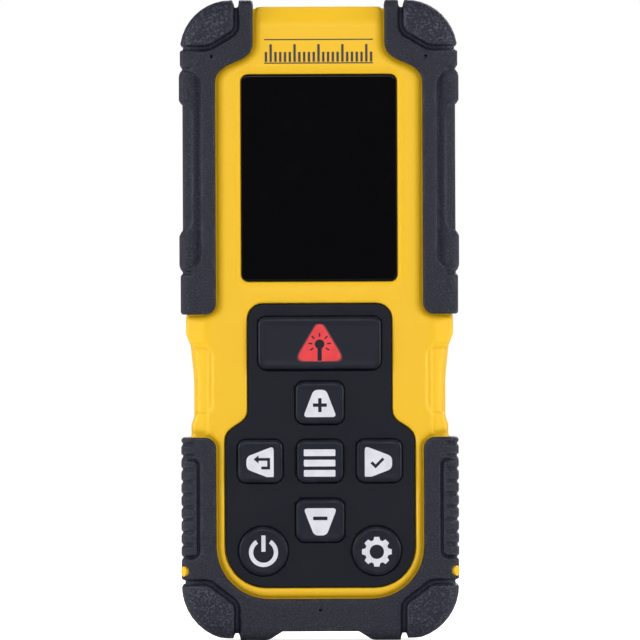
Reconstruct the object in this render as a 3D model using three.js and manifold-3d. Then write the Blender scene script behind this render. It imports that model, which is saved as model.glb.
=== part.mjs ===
// Handheld laser distance meter: a two-shell plastic case with rubber grips, a display, an
// eight-key pad, laser and receiver optics in the top end, two AAA cells behind a hinged door
// and a camera-thread bush in the back.
// Millimetres. +X right as seen from the front, -Y towards the user, +Z along the beam.
// The origin is under the middle of the bottom end, which is the reference face.
import * as THREE from 'three';
import { mergeVertices } from 'three/addons/utils/BufferGeometryUtils.js';
import Module from 'manifold-3d';

// ---- Driving dimensions ------------------------------------------------------------------

const height = 134;
const halfWidth = 29; // over the rubber
const bulgeHalfWidth = 29.35; // over the raised bands of the upper grips
const halfDepth = 16; // over the rubber
const gap = 0.3; // between neighbouring pieces
const parting = 0.8; // where the rear shell starts; the front shell ends one gap before it

const rubber = {
  edgeRound: 3.4,
  topCorner: 10.75,
  bottomCorner: 11.5,
  ramp: 0.7, // how tall each step between a band and the side is
  bandLow: 77.9,
  recessLow: 84.6,
  recessHigh: 112.4,
  bandHigh: 118.4,
  recessHalfWidth: 28.8,
};
const foot = { inner: 10.9, archHalf: 8, archTop: 1.87, outer: 14.9, reliefEnd: 19, reliefTop: 0.5 };

const shell = {
  halfWidth: 27.2, // where rubber covers it
  waistHalfWidth: 26.3,
  shoulderHalfWidth: 27.95,
  coveredHalfDepth: 13.6,
  shownHalfDepth: 14.6,
  edgeRound: 2.5,
  bottom: 2.2,
  top: 132.2,
  crown: 132.6, // the bare middle of the top end
  inside: { halfWidth: 24.2, bottom: 4.8, top: 128.4, halfDepth: 12.2, corner: 8 },
};

const upperGrip = { bottom: 68.2, innerTop: 13.75, inner: 21.65, rearInner: 23.4, corner: 2.3 };
const bumper = { top: 42.5, inner: 21.7, innerBottom: 8.7, corner: 2.3, innerRadius: 11 };

const screen = {
  halfWidth: 16.27,
  bottom: 75.1,
  top: 118.35,
  corner: 1.4,
  recess: 0.35,
  thick: 1.3,
  slack: 0.25,
  seatDepth: -12.1,
  ledge: 1.9, // how far the shell reaches under the edge of the window
  ledgeThick: 0.6,
};
const lcd = { halfWidth: 17, bottom: 73.8, top: 119.6, front: -11.2, thick: 2.2 };

const pad = {
  top: 70.4,
  bottom: 11.1,
  neckHalfWidth: 15.1,
  bodyHalfWidth: 19.86,
  topCorner: 3.2,
  bottomCorner: 8.6,
  shoulderLow: 41.7,
  shoulderHigh: 48.3,
  front: -14.3,
  thick: 1.35,
  ledge: 1.2, // how far the plate rests on the shell all round
};

const keyFace = -15.6;
const keyTravel = 0.8;
const keyFlange = { proud: 0.6, front: -12.7, back: -11.9 };
const keys = [
  { name: 'measure_key', x: 0, z: 62.2, width: 25.8, height: 11.1, corner: 1.7 },
  { name: 'plus_key', x: 0, z: 49.7, width: 10.2, height: 9, corner: 1.8 },
  { name: 'back_key', x: -12.5, z: 37.5, width: 9.5, height: 9.1, corner: 1.8 },
  { name: 'menu_key', x: 0, z: 37.5, width: 9.8, height: 9.05, corner: 1.8 },
  { name: 'confirm_key', x: 12.4, z: 37.5, width: 9.6, height: 9.1, corner: 1.8 },
  { name: 'minus_key', x: 0, z: 25.1, width: 10.2, height: 9.2, corner: 1.8 },
  { name: 'power_key', x: -11.9, z: 18.7, width: 10.4, height: 10.4, corner: 5.2 },
  { name: 'settings_key', x: 11.8, z: 18.7, width: 10.4, height: 10.4, corner: 5.2 },
];

const board = { front: -8.6, thick: 1, halfWidth: 23.2, bottom: 7.5, top: 124.5, corner: 7 };

const optics = {
  lensX: -3.6,
  laserX: 7.2,
  halfWidth: 10.8,
  front: -7.3,
  back: 7.3,
  top: 129.5,
  shoulder: 118,
  lensRadius: 6.6,
  coneEnd: 97,
};
const bezel = {
  halfWidth: 12,
  halfDepth: 9.3,
  corner: 2.4,
  bottom: 129.9,
  thick: 2,
  throatHalfWidth: 11.1,
  throatHalfDepth: 8.5,
  throatBottom: 126,
};

const cell = { radius: 5.15, body: 43.7, nub: 0.8, nubRadius: 1.9, x: 5.6, y: 7.25 }; // AAA
const bay = { halfWidth: 11.3, bottom: 27.6, top: 76.4, floor: 1.9, rim: 11.9, wall: 1.15 };
const contact = { thick: 0.4, springHeight: 2.4, springTurns: 3, wire: 0.5 };

const door = {
  halfWidth: 12.9,
  bottom: 25.4,
  inner: 12.8,
  plateTop: 77.2,
  hingeY: 13,
  hingeZ: 79,
  barrelRadius: 1.6,
  barrelHalfLength: 9.1,
  pinRadius: 0.75,
  pinBore: 1.05,
  earEnd: 13.6,
  earRadius: 1.5,
};
const latch = { halfWidth: 5, bottom: 26.9, top: 31.2, front: 13.75, proud: 0.35, travel: 1.5 };

const tripod = { z: 14.4, boreRadius: 3.25, bushRadius: 4.2, bossRadius: 5.4, depth: 8 };
const screws = {
  x: 20.2,
  heights: { lower: 50, upper: 112 },
  headRadius: 2.2,
  headInner: 11.8,
  headOuter: 13.4,
  shankRadius: 1.1,
  tip: -8,
  socketRadius: 1.15,
  socketInner: 12.4,
  frontBoss: 2.6,
  pilot: 1.35,
  pilotFront: -11,
  rearBoss: 2.9,
  bore: 1.45,
  wellInner: 11.5,
};
const marker = { z: 14.5, radius: 1.15, tilt: 30 * Math.PI / 180 };
const label = { halfWidth: 15, bottom: 88, top: 108, thick: 0.3, recess: 0.6 };

// Segments in a quarter circle of an outline: a few on a small corner, more on a large one.
const quarterSteps = (radius) => THREE.MathUtils.clamp(Math.round(1.3 + 1.4 * Math.sqrt(radius)), 2, 6);

// ---- Materials ---------------------------------------------------------------------------

const finishes = {
  yellowPlastic: { color: 0xf7ca32, roughness: 0.48, metalness: 0 },
  gripRubber: { color: 0x34353f, roughness: 0.78, metalness: 0 },
  keypadPlastic: { color: 0x23252e, roughness: 0.5, metalness: 0 },
  keyRubber: { color: 0x2a2c35, roughness: 0.6, metalness: 0 },
  blackPlastic: { color: 0x1b1c20, roughness: 0.55, metalness: 0 },
  displayGlass: { color: 0x07080a, roughness: 0.06, metalness: 0 },
  clearGlass: { color: 0xbcd0d8, roughness: 0.03, metalness: 0 },
  foam: { color: 0x2b2b2b, roughness: 0.9, metalness: 0 },
  sealRubber: { color: 0x8a8d92, roughness: 0.8, metalness: 0 },
  silicone: { color: 0xb9bec4, roughness: 0.7, metalness: 0 },
  circuitBoard: { color: 0x1f5f3a, roughness: 0.45, metalness: 0 },
  steel: { color: 0xb4b6ba, roughness: 0.3, metalness: 1 },
  nickel: { color: 0xc9c8c2, roughness: 0.28, metalness: 1 },
  brass: { color: 0xc8a452, roughness: 0.28, metalness: 1 },
  cellJacket: { color: 0x3c5f8a, roughness: 0.35, metalness: 0.3 },
  blankLabel: { color: 0xbfc1c4, roughness: 0.5, metalness: 0.2 },
};

// ---- Solids ------------------------------------------------------------------------------

const wasm = await Module();
wasm.setup();

function toSolid(geometry) {
  const bare = geometry.clone();
  bare.deleteAttribute('normal');
  bare.deleteAttribute('uv');
  const merged = mergeVertices(bare, 1e-4);
  const vertProperties = Float32Array.from(merged.attributes.position.array);
  const triVerts = Uint32Array.from(merged.index.array);
  return new wasm.Manifold(new wasm.Mesh({ numProp: 3, vertProperties, triVerts }));
}

function toGeometry(solid) {
  const mesh = solid.getMesh();
  const geometry = new THREE.BufferGeometry();
  geometry.setAttribute('position', new THREE.BufferAttribute(mesh.vertProperties, 3));
  geometry.setIndex(new THREE.BufferAttribute(mesh.triVerts, 1));
  geometry.computeVertexNormals();
  return geometry;
}

const join = (...solids) => solids.reduce((sum, solid) => sum.add(solid));
const cut = (solid, ...tools) => tools.reduce((rest, tool) => rest.subtract(tool), solid);

// ---- Outlines in the front plane, as lists of (x, z) points ------------------------------

const point = (x, z) => new THREE.Vector2(x, z);

function arc(x, z, radius, fromDegrees, toDegrees) {
  const steps = Math.max(2, Math.round(quarterSteps(radius) * Math.abs(toDegrees - fromDegrees) / 90));
  const points = [];
  for (let i = 0; i <= steps; i += 1) {
    const angle = THREE.MathUtils.degToRad(fromDegrees + (toDegrees - fromDegrees) * i / steps);
    points.push(point(x + radius * Math.cos(angle), z + radius * Math.sin(angle)));
  }
  return points;
}

// An S-shaped run between two points that leaves and arrives upright.
function sBend(from, to, pull = 0.55, steps = 6) {
  const rise = (to.y - from.y) * pull;
  const leave = point(from.x, from.y + rise);
  const arrive = point(to.x, to.y - rise);
  const curve = new THREE.CubicBezierCurve(from, leave, arrive, to);
  return curve.getPoints(steps);
}

// The right half, from the bottom middle up to the top middle, and its mirror image.
function mirrored(right) {
  const left = right.filter((p) => p.x > 1e-6).map((p) => point(-p.x, p.y)).reverse();
  return [...right, ...left];
}

// Neighbouring points that fall together, as where two arcs meet, are kept once.
function distinct(outline) {
  const apart = 1e-3;
  return outline.filter((p, i) => p.distanceTo(outline[(i + outline.length - 1) % outline.length]) > apart);
}

function roundedBox(left, right, bottom, top, radius) {
  return distinct([
    ...arc(right - radius, bottom + radius, radius, -90, 0),
    ...arc(right - radius, top - radius, radius, 0, 90),
    ...arc(left + radius, top - radius, radius, 90, 180),
    ...arc(left + radius, bottom + radius, radius, 180, 270),
  ]);
}

const centredBox = (half, bottom, top, radius) => roundedBox(-half, half, bottom, top, radius);

const flipped = (outline) => outline.map((p) => point(-p.x, p.y)).reverse();

// Moves every corner along its mitre, outwards for a positive distance.
function grown(outline, distance) {
  return outline.map((p, i) => {
    const before = outline[(i + outline.length - 1) % outline.length];
    const after = outline[(i + 1) % outline.length];
    const a = p.clone().sub(before).normalize();
    const b = after.clone().sub(p).normalize();
    const mitre = point(a.y + b.y, -a.x - b.x);
    const scale = 2 * distance / mitre.lengthSq();
    return p.clone().addScaledVector(mitre, scale);
  });
}

function rubberOutline() {
  const { topCorner, bottomCorner, ramp, recessHalfWidth } = rubber;
  const { bandLow, recessLow, recessHigh, bandHigh } = rubber;
  const topCentre = height - topCorner;
  return mirrored([
    point(0, 0),
    ...arc(halfWidth - bottomCorner, bottomCorner, bottomCorner, -90, 0),
    point(halfWidth, bandLow),
    point(bulgeHalfWidth, bandLow + ramp),
    point(bulgeHalfWidth, recessLow),
    point(recessHalfWidth, recessLow + ramp),
    point(recessHalfWidth, recessHigh),
    point(bulgeHalfWidth, recessHigh + ramp),
    point(bulgeHalfWidth, bandHigh),
    point(halfWidth, bandHigh + ramp),
    ...arc(halfWidth - topCorner, topCentre, topCorner, 0, 90),
    point(0, height),
  ]);
}

function shellOutline() {
  const corner = 9.7;
  return mirrored([
    point(0, shell.bottom),
    ...arc(shell.halfWidth - corner, shell.bottom + corner, corner, -90, 0),
    point(shell.halfWidth, 42.2),
    point(26.9, 43),
    point(26.9, 45.5),
    point(shell.waistHalfWidth, 46.8),
    point(shell.waistHalfWidth, 54.3),
    point(26.5, 56.9),
    point(27.05, 61.9),
    point(shell.shoulderHalfWidth, 64.4),
    point(shell.shoulderHalfWidth, 68),
    point(shell.halfWidth, 68.4),
    ...arc(shell.halfWidth - corner, shell.top - corner, corner, 0, 90),
    point(13.2, shell.top),
    point(12.8, shell.crown),
    point(0, shell.crown),
  ]);
}

// The right upper grip's region: a corner that reaches in over the top end and a long side.
function upperGripOutline(inner) {
  const beyond = bulgeHalfWidth + 4;
  const { bottom, innerTop, corner } = upperGrip;
  return [
    point(beyond, bottom),
    point(beyond, height + 4),
    point(innerTop, height + 4),
    ...sBend(point(innerTop, 125.2), point(inner, 116.6), 0.62),
    ...arc(inner + corner, bottom + corner, corner, 180, 270),
  ];
}

// The U-shaped region of the lower bumper.
function bumperOutline() {
  const beyond = halfWidth + 4;
  const { top, inner, innerBottom, corner, innerRadius } = bumper;
  return mirrored([
    point(0, -4),
    point(beyond, -4),
    point(beyond, top),
    ...arc(inner + corner, top - corner, corner, 90, 180),
    ...arc(inner - innerRadius, innerBottom + innerRadius, innerRadius, 0, -90),
    point(0, innerBottom),
  ]);
}

function padOutline() {
  const { top, bottom, neckHalfWidth, bodyHalfWidth, topCorner, bottomCorner } = pad;
  return mirrored([
    point(0, bottom),
    ...arc(bodyHalfWidth - bottomCorner, bottom + bottomCorner, bottomCorner, -90, 0),
    ...sBend(point(bodyHalfWidth, pad.shoulderLow), point(neckHalfWidth, pad.shoulderHigh)),
    ...arc(neckHalfWidth - topCorner, top - topCorner, topCorner, 0, 90),
    point(0, top),
  ]);
}

// ---- Shapes from outlines ----------------------------------------------------------------

// A straight-sided solid between two depths.
function prism(outline, front, back) {
  const shape = new THREE.Shape(outline);
  const geometry = new THREE.ExtrudeGeometry(shape, { depth: back - front, bevelEnabled: false });
  geometry.rotateX(Math.PI / 2);
  geometry.translate(0, back, 0);
  return toSolid(geometry);
}

// The same with both faces' edges rounded, its outline reached between the roundings.
function softPrism(outline, front, back, round, segments = 3) {
  const shape = new THREE.Shape(outline);
  const geometry = new THREE.ExtrudeGeometry(shape, {
    depth: back - front - 2 * round,
    bevelThickness: round,
    bevelSize: round,
    bevelOffset: -round,
    bevelSegments: segments,
  });
  geometry.rotateX(Math.PI / 2);
  geometry.translate(0, back - round, 0);
  return toSolid(geometry);
}

// A rod along Y, X or Z between two places on its axis.
function rodY(x, z, radius, front, back, sides = 16) {
  const geometry = new THREE.CylinderGeometry(radius, radius, back - front, sides);
  geometry.translate(x, (front + back) / 2, z);
  return toSolid(geometry);
}

function rodX(y, z, radius, left, right, sides = 16) {
  const geometry = new THREE.CylinderGeometry(radius, radius, right - left, sides);
  geometry.rotateZ(Math.PI / 2);
  geometry.translate((left + right) / 2, y, z);
  return toSolid(geometry);
}

function coneZ(x, y, lowRadius, highRadius, low, high, sides = 20) {
  const geometry = new THREE.CylinderGeometry(highRadius, lowRadius, high - low, sides);
  geometry.rotateX(Math.PI / 2);
  geometry.translate(x, y, (low + high) / 2);
  return toSolid(geometry);
}

function block(low, high) {
  const size = high.map((value, i) => value - low[i]);
  const geometry = new THREE.BoxGeometry(...size);
  geometry.translate(...low.map((value, i) => value + size[i] / 2));
  return toSolid(geometry);
}

// A solid turned round Z from (radius, height) pairs that start and end on the axis.
function turned(profile, x, y, sides = 20) {
  const geometry = new THREE.LatheGeometry(profile.map(([r, z]) => point(r, z)), sides);
  geometry.rotateX(Math.PI / 2);
  geometry.translate(x, y, 0);
  return toSolid(geometry);
}

// A plate in the plane across the beam: its outline holds (x, y) points.
function plateZ(outline, low, high) {
  const shape = new THREE.Shape(outline);
  const geometry = new THREE.ExtrudeGeometry(shape, { depth: high - low, bevelEnabled: false });
  geometry.translate(0, 0, low);
  return toSolid(geometry);
}

// ---- The assembly ------------------------------------------------------------------------

const meter = new THREE.Group();

function addPiece(name, solid, finish) {
  const material = new THREE.MeshStandardMaterial(finishes[finish]);
  const mesh = new THREE.Mesh(toGeometry(solid), material);
  mesh.name = name;
  meter.add(mesh);
}

const far = 60;
const frontHalf = block([-far, -far, -far], [far, parting - gap, height + far]);
const rearHalf = block([-far, parting, -far], [far, far, height + far]);

const upperRight = upperGripOutline(upperGrip.inner);
const upperRightRear = upperGripOutline(upperGrip.rearInner);
const lower = bumperOutline();
const screwSpots = [];
for (const [row, z] of Object.entries(screws.heights)) {
  for (const side of [-1, 1]) {
    screwSpots.push({ name: `case_screw_${row}_${side < 0 ? 'left' : 'right'}`, x: side * screws.x, z });
  }
}

// ---- Case shells -------------------------------------------------------------------------

// The shell is thinner where rubber covers it, so its bare areas stand out between the grips.
function shellBlank(grips) {
  const { coveredHalfDepth, shownHalfDepth, edgeRound } = shell;
  const covered = softPrism(shellOutline(), -coveredHalfDepth, coveredHalfDepth, edgeRound, 2);
  const shown = softPrism(shellOutline(), -shownHalfDepth, shownHalfDepth, edgeRound, 2);
  return join(covered, cut(shown, ...grips.map((grip) => prism(grown(grip, gap), -far, far))));
}

function shellCavity(front, back) {
  const { halfWidth: half, bottom, top, corner } = shell.inside;
  return prism(centredBox(half, bottom, top, corner), front, back);
}

// The hole in the top end for the optics bezel, with a narrower way through below it.
function opticsWell() {
  const { halfWidth: half, halfDepth: deep, corner, bottom } = bezel;
  const seatOutline = roundedBox(-half - gap, half + gap, -deep - gap, deep + gap, corner);
  const seat = plateZ(seatOutline, bottom - gap, height + far);
  const { throatHalfWidth: wide, throatHalfDepth: tall, throatBottom } = bezel;
  const throat = plateZ(roundedBox(-wide, wide, -tall, tall, 2), throatBottom, bottom + 1);
  return join(seat, throat);
}

// The seal between the shells: a cord that runs round the case and stops on each side of the bezel.
const sealPath = centredBox(25.7, 3.5, 131, 8.6);

function sealRing(width, front, back) {
  const outer = prism(grown(sealPath, width / 2), front, back);
  const inner = prism(grown(sealPath, -width / 2), front - 1, back + 1);
  const end = bezel.halfWidth + 2 * gap;
  return cut(outer, inner, block([-end, -far, 120], [end, far, 140]));
}

function frontHousing() {
  const blank = shellBlank([upperRight, flipped(upperRight), lower]).intersect(frontHalf);
  const { frontBoss, pilot, pilotFront } = screws;
  const bosses = screwSpots.map(({ x, z }) => rodY(x, z, frontBoss, -12.5, -0.2));
  const pilots = screwSpots.map(({ x, z }) => rodY(x, z, pilot, pilotFront, far));
  const { halfWidth: half, bottom, top, corner, seatDepth, slack, ledge, ledgeThick } = screen;
  const seatOutline = centredBox(half + slack, bottom - slack, top + slack, corner + slack);
  const screenSeat = prism(seatOutline, -far, seatDepth);
  const screenHole = prism(centredBox(half - ledge, bottom + ledge, top - ledge, 1), -far, far);
  const ledgeOutline = centredBox(half + ledge, bottom - ledge, top + ledge, 2);
  const screenLedge = cut(
    prism(ledgeOutline, seatDepth - 0.05, seatDepth + ledgeThick),
    screenHole,
  );
  const padSeat = prism(grown(padOutline(), gap), -far, pad.front + pad.thick + 0.15);
  const padHole = prism(grown(padOutline(), -pad.ledge), -far, 0);
  const hollow = cut(blank, shellCavity(-shell.inside.halfDepth, far));
  const walls = cut(hollow, screenSeat, padSeat, padHole, opticsWell(), sealRing(1.2, -0.5, far));
  return cut(join(walls, screenLedge, ...bosses), ...pilots);
}

function hingeEars() {
  const { hingeY, hingeZ, barrelHalfLength, earEnd, earRadius } = door;
  const ears = [];
  for (const side of [-1, 1]) {
    const [left, right] = [barrelHalfLength + gap, earEnd].map((x) => x * side).sort((a, b) => a - b);
    ears.push(rodX(hingeY, hingeZ, earRadius, left, right));
    ears.push(block([left, hingeY - earRadius, hingeZ], [right, shell.shownHalfDepth, hingeZ + 2.4]));
  }
  return ears;
}

function rearHousing() {
  const grips = [upperRightRear, flipped(upperRightRear), lower];
  const blank = shellBlank(grips).intersect(rearHalf);
  const hollow = cut(blank, shellCavity(-far, shell.inside.halfDepth), opticsWell());
  const { halfWidth: half, bottom, top, floor, rim, wall } = bay;
  const tub = prism(centredBox(half + wall, bottom - wall, top + wall, 1), floor - 1.1, rim);
  const tubHole = prism(centredBox(half, bottom, top, 0.5), floor, far);
  const doorway = prism(
    roundedBox(-door.halfWidth - gap, door.halfWidth + gap, door.bottom - gap, door.hingeZ + 1.9, 0.6),
    rim,
    far,
  );
  const skirt = cut(
    prism(centredBox(door.halfWidth + 1.5, door.bottom - 1.5, door.hingeZ + 3.2, 1), rim - 1.2, 12.4),
    prism(centredBox(half, bottom, top, 0.5), 0, far),
    rodX(door.hingeY, door.hingeZ, 1.9, -9.4, 9.4),
  );
  const { rearBoss, bore, wellInner, headRadius } = screws;
  const bosses = screwSpots.map(({ x, z }) => rodY(x, z, rearBoss, parting + 0.1, 13.5));
  const bores = screwSpots.map(({ x, z }) => rodY(x, z, bore, -far, far));
  const headWells = screwSpots.map(({ x, z }) => rodY(x, z, headRadius + gap, wellInner, far));
  const bushBoss = rodY(0, tripod.z, tripod.bossRadius, halfDepth - tripod.depth - 1.2, halfDepth - gap);
  const bushHole = rodY(0, tripod.z, tripod.bushRadius + gap, halfDepth - tripod.depth - gap, far);
  const labelSeat = prism(
    centredBox(label.halfWidth + gap, label.bottom - gap, label.top + gap, 1.2),
    shell.shownHalfDepth - label.recess,
    far,
  );
  const solid = join(cut(join(hollow, tub, skirt), tubHole, doorway), ...bosses, bushBoss, ...hingeEars());
  const pinHole = rodX(door.hingeY, door.hingeZ, door.pinBore, -12.6, 12.6);
  return cut(solid, ...bores, ...headWells, bushHole, labelSeat, pinHole);
}

addPiece('front_housing', frontHousing(), 'yellowPlastic');
addPiece('rear_housing', rearHousing(), 'yellowPlastic');
addPiece('case_gasket', sealRing(0.8, -0.3, parting - 0.15), 'sealRubber');

// ---- Rubber grips ------------------------------------------------------------------------

const rubberBlank = softPrism(rubberOutline(), -halfDepth, halfDepth, rubber.edgeRound);

// The shell with clearance, which the rubber is hollowed by.
function shellCore() {
  const { coveredHalfDepth, edgeRound } = shell;
  const deep = coveredHalfDepth + gap;
  return softPrism(grown(shellOutline(), gap), -deep, deep, edgeRound, 2);
}

const gripStock = cut(rubberBlank, shellCore());

function gripPiece(outline, half) {
  return gripStock.intersect(prism(outline, -far, far)).intersect(half);
}

// The tilted hole or stud at the bumper's front corner, level with the camera-thread bush.
function markerRod(side, radius, from, to) {
  const geometry = new THREE.CylinderGeometry(radius, radius, to - from, 20);
  geometry.translate(0, (from + to) / 2, 0);
  geometry.rotateZ(-side * Math.PI / 2);
  geometry.rotateZ(-side * marker.tilt);
  const round = rubber.edgeRound;
  geometry.translate(side * (halfWidth - round), -(halfDepth - round), marker.z);
  return toSolid(geometry);
}

// Feet: the outline's flat bottom is relieved in the middle and beside each foot.
function bottomReliefs() {
  const { inner, archHalf, archTop, outer, reliefEnd, reliefTop } = foot;
  const middle = mirrored([
    point(0, -1),
    point(inner, -1),
    point(inner, 0),
    point(archHalf, archTop),
    point(0, archTop),
  ]);
  const flank = [
    point(outer, -1),
    point(reliefEnd, -1),
    point(reliefEnd, reliefTop),
    point(outer + reliefTop, reliefTop),
  ];
  return [middle, flank, flipped(flank)].map((outline) => prism(outline, -far, far));
}

for (const [side, outlineFront, outlineRear] of [
  ['right', upperRight, upperRightRear],
  ['left', flipped(upperRight), flipped(upperRightRear)],
]) {
  addPiece(`upper_${side}_grip_front`, gripPiece(outlineFront, frontHalf), 'gripRubber');
  addPiece(`upper_${side}_grip_rear`, gripPiece(outlineRear, rearHalf), 'gripRubber');
}

const markerHoles = [-1, 1].map((side) => markerRod(side, marker.radius + gap, -1, 8));
addPiece(
  'lower_bumper_front',
  cut(gripPiece(lower, frontHalf), ...bottomReliefs(), ...markerHoles),
  'gripRubber',
);
addPiece('lower_bumper_rear', cut(gripPiece(lower, rearHalf), ...bottomReliefs()), 'gripRubber');
addPiece('marker_stud_left', markerRod(-1, marker.radius, 1.3, rubber.edgeRound + 0.15), 'yellowPlastic');
addPiece('marker_stud_right', markerRod(1, marker.radius, 1.3, rubber.edgeRound + 0.15), 'yellowPlastic');

// ---- Display -----------------------------------------------------------------------------

const glassFront = -shell.shownHalfDepth + screen.recess;
const glassBack = glassFront + screen.thick;
const glassOutline = centredBox(screen.halfWidth, screen.bottom, screen.top, screen.corner);
addPiece('display_window', softPrism(glassOutline, glassFront, glassBack, 0.2, 1), 'displayGlass');
addPiece(
  'display_gasket',
  cut(
    prism(glassOutline, glassBack + 0.15, glassBack + 0.65),
    prism(centredBox(screen.halfWidth - 1.6, screen.bottom + 1.6, screen.top - 1.6, 0.6), -far, far),
  ),
  'foam',
);
addPiece(
  'lcd_panel',
  softPrism(centredBox(lcd.halfWidth, lcd.bottom, lcd.top, 0.8), lcd.front, lcd.front + lcd.thick, 0.3, 1),
  'blackPlastic',
);

// ---- Keypad ------------------------------------------------------------------------------

function keyOutline({ x, z, width, height: tall, corner }, more) {
  const [w, t] = [width / 2 + more, tall / 2 + more];
  return roundedBox(x - w, x + w, z - t, z + t, corner + more);
}

const plateBack = pad.front + pad.thick;
const keyHoles = keys.map((key) => prism(keyOutline(key, gap), -far, far));
addPiece('keypad_fascia', cut(prism(padOutline(), pad.front, plateBack), ...keyHoles), 'keypadPlastic');

for (const key of keys) {
  const cap = softPrism(keyOutline(key, 0), keyFace, keyFlange.front + 0.7, 0.6, 1);
  const flange = prism(keyOutline(key, keyFlange.proud), keyFlange.front, keyFlange.back);
  addPiece(key.name, join(cap, flange), 'keyRubber');
}

const domeTop = keyFlange.back + keyTravel + 0.2;
const domeBase = -9.4;
const domes = keys.map(({ x, z }) => {
  const geometry = new THREE.CylinderGeometry(2.4, 1.6, domeBase - domeTop, 16);
  geometry.translate(x, (domeBase + domeTop) / 2, z);
  return toSolid(geometry);
});
const sheet = prism(grown(padOutline(), -1.9), domeBase - 0.1, board.front - 0.2);
addPiece('switch_sheet', join(sheet, ...domes), 'silicone');

// ---- Electronics -------------------------------------------------------------------------

const boardBlank = prism(
  centredBox(board.halfWidth, board.bottom, board.top, board.corner),
  board.front,
  board.front + board.thick,
);
const bossPasses = screwSpots.map(({ x, z }) => rodY(x, z, 3.1, -far, far));
addPiece('main_board', cut(boardBlank, ...bossPasses), 'circuitBoard');

const behindBoard = board.front + board.thick + 0.2;
const can = join(
  softPrism(roundedBox(-20.6, -11.2, 84, 100, 0.6), behindBoard, behindBoard + 2.6, 0.3, 1),
  prism(roundedBox(-21, -10.8, 83.6, 100.4, 0.6), behindBoard, behindBoard + 0.3),
);
addPiece('shield_can', can, 'nickel');
addPiece(
  'buzzer',
  cut(rodY(13.5, 92, 4.5, behindBoard, behindBoard + 3.2), rodY(13.5, 92, 0.9, behindBoard + 2, far)),
  'blackPlastic',
);

// ---- Optics ------------------------------------------------------------------------------

function opticsFrame() {
  const { lensX, laserX, halfWidth: half, front, back, top, shoulder, coneEnd } = optics;
  const head = plateZ(roundedBox(-half, half, front, back, 1.6), shoulder, top);
  const horn = coneZ(lensX, 0, 4.4, 7, coneEnd, shoulder + 1);
  const sleeve = coneZ(laserX, 0, 3.6, 3.6, 106, shoulder + 1);
  const cup = coneZ(lensX, 0, optics.lensRadius + gap, optics.lensRadius + gap, 126.7, 140);
  const light = coneZ(lensX, 0, 2.6, 5.9, coneEnd - 1, 127);
  const bore = coneZ(laserX, 0, 3.1, 3.1, 105, 140, 20);
  return cut(join(head, horn, sleeve), cup, light, bore);
}

addPiece('optics_frame', opticsFrame(), 'blackPlastic');

const lensProfile = [[0, 127], [optics.lensRadius, 127], [optics.lensRadius, 128.3]];
for (const share of [0.85, 0.65, 0.45, 0.22]) {
  lensProfile.push([optics.lensRadius * share * 0.93, 128.3 + 1.7 * (1 - share * share)]);
}
lensProfile.push([0, 130]);
addPiece('receiver_lens', turned(lensProfile, optics.lensX, 0, 32), 'clearGlass');

const barrel = cut(
  coneZ(optics.laserX, 0, 2.8, 2.8, 107, 125, 20),
  coneZ(optics.laserX, 0, 2.2, 2.2, 122, 126, 20),
  coneZ(optics.laserX, 0, 1.2, 1.2, 106, 123, 16),
);
addPiece('laser_barrel', barrel, 'brass');
addPiece(
  'collimator_lens',
  turned([[0, 122.3], [1.9, 122.3], [1.9, 123.1], [1.2, 123.7], [0, 123.9]], optics.laserX, 0, 20),
  'clearGlass',
);
addPiece('laser_exit_window', coneZ(optics.laserX, 0, 2.5, 2.5, 130.9, 131.6, 24), 'clearGlass');
addPiece('detector_can', join(
  coneZ(optics.lensX, 0, 2.7, 2.7, 93.4, 96.6, 20),
  coneZ(optics.lensX, 0, 3.1, 3.1, 93, 93.6, 20),
), 'nickel');
addPiece('detector_board', plateZ(roundedBox(-9.4, 2.2, -6.6, 6.4, 0.8), 91.7, 92.7), 'circuitBoard');

const bezelTop = bezel.bottom + bezel.thick;
addPiece(
  'optics_bezel',
  cut(
    plateZ(
      roundedBox(-bezel.halfWidth, bezel.halfWidth, -bezel.halfDepth, bezel.halfDepth, bezel.corner),
      bezel.bottom,
      bezelTop,
    ),
    coneZ(optics.lensX, 0, 6.2, 6.5, bezel.bottom - 1, bezelTop + 0.3, 32),
    coneZ(optics.laserX, 0, 1.9, 1.9, bezel.bottom - 1, bezelTop + 1, 20),
    coneZ(optics.laserX, 0, 2.8, 2.8, 130.6, bezelTop + 1, 24),
  ),
  'blackPlastic',
);

// ---- Batteries and their contacts --------------------------------------------------------

// A cell standing on its flat end at z, or hanging from it when it is turned over.
function cellSolid(x, flatEnd, direction) {
  const { radius, body, nub, nubRadius } = cell;
  const profile = [
    [0, 0],
    [radius - 0.35, 0],
    [radius, 0.35],
    [radius, body - 0.35],
    [radius - 0.35, body],
    [nubRadius, body],
    [nubRadius, body + nub],
    [0, body + nub],
  ].map(([r, z]) => [r, flatEnd + direction * z]);
  return turned(direction > 0 ? profile : profile.reverse(), x, cell.y, 24);
}

const lowPlate = { low: bay.bottom + gap, high: bay.bottom + gap + contact.thick };
const highPlate = { low: bay.top - gap - contact.thick, high: bay.top - gap };
const springRoom = contact.springHeight + gap;
addPiece('battery_left', cellSolid(-cell.x, lowPlate.high + springRoom, 1), 'cellJacket');
addPiece('battery_right', cellSolid(cell.x, highPlate.low - springRoom, -1), 'cellJacket');

// A conical wire coil that stands on a contact plate and narrows towards the cell.
class Coil extends THREE.Curve {
  constructor(x, start, rise) {
    super();
    Object.assign(this, { x, start, rise });
  }

  getPoint(t, target = new THREE.Vector3()) {
    const angle = 2 * Math.PI * contact.springTurns * t;
    const radius = THREE.MathUtils.lerp(3.9, 2.4, t);
    return target.set(
      this.x + radius * Math.cos(angle),
      cell.y + radius * Math.sin(angle),
      this.start + this.rise * t,
    );
  }
}

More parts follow.
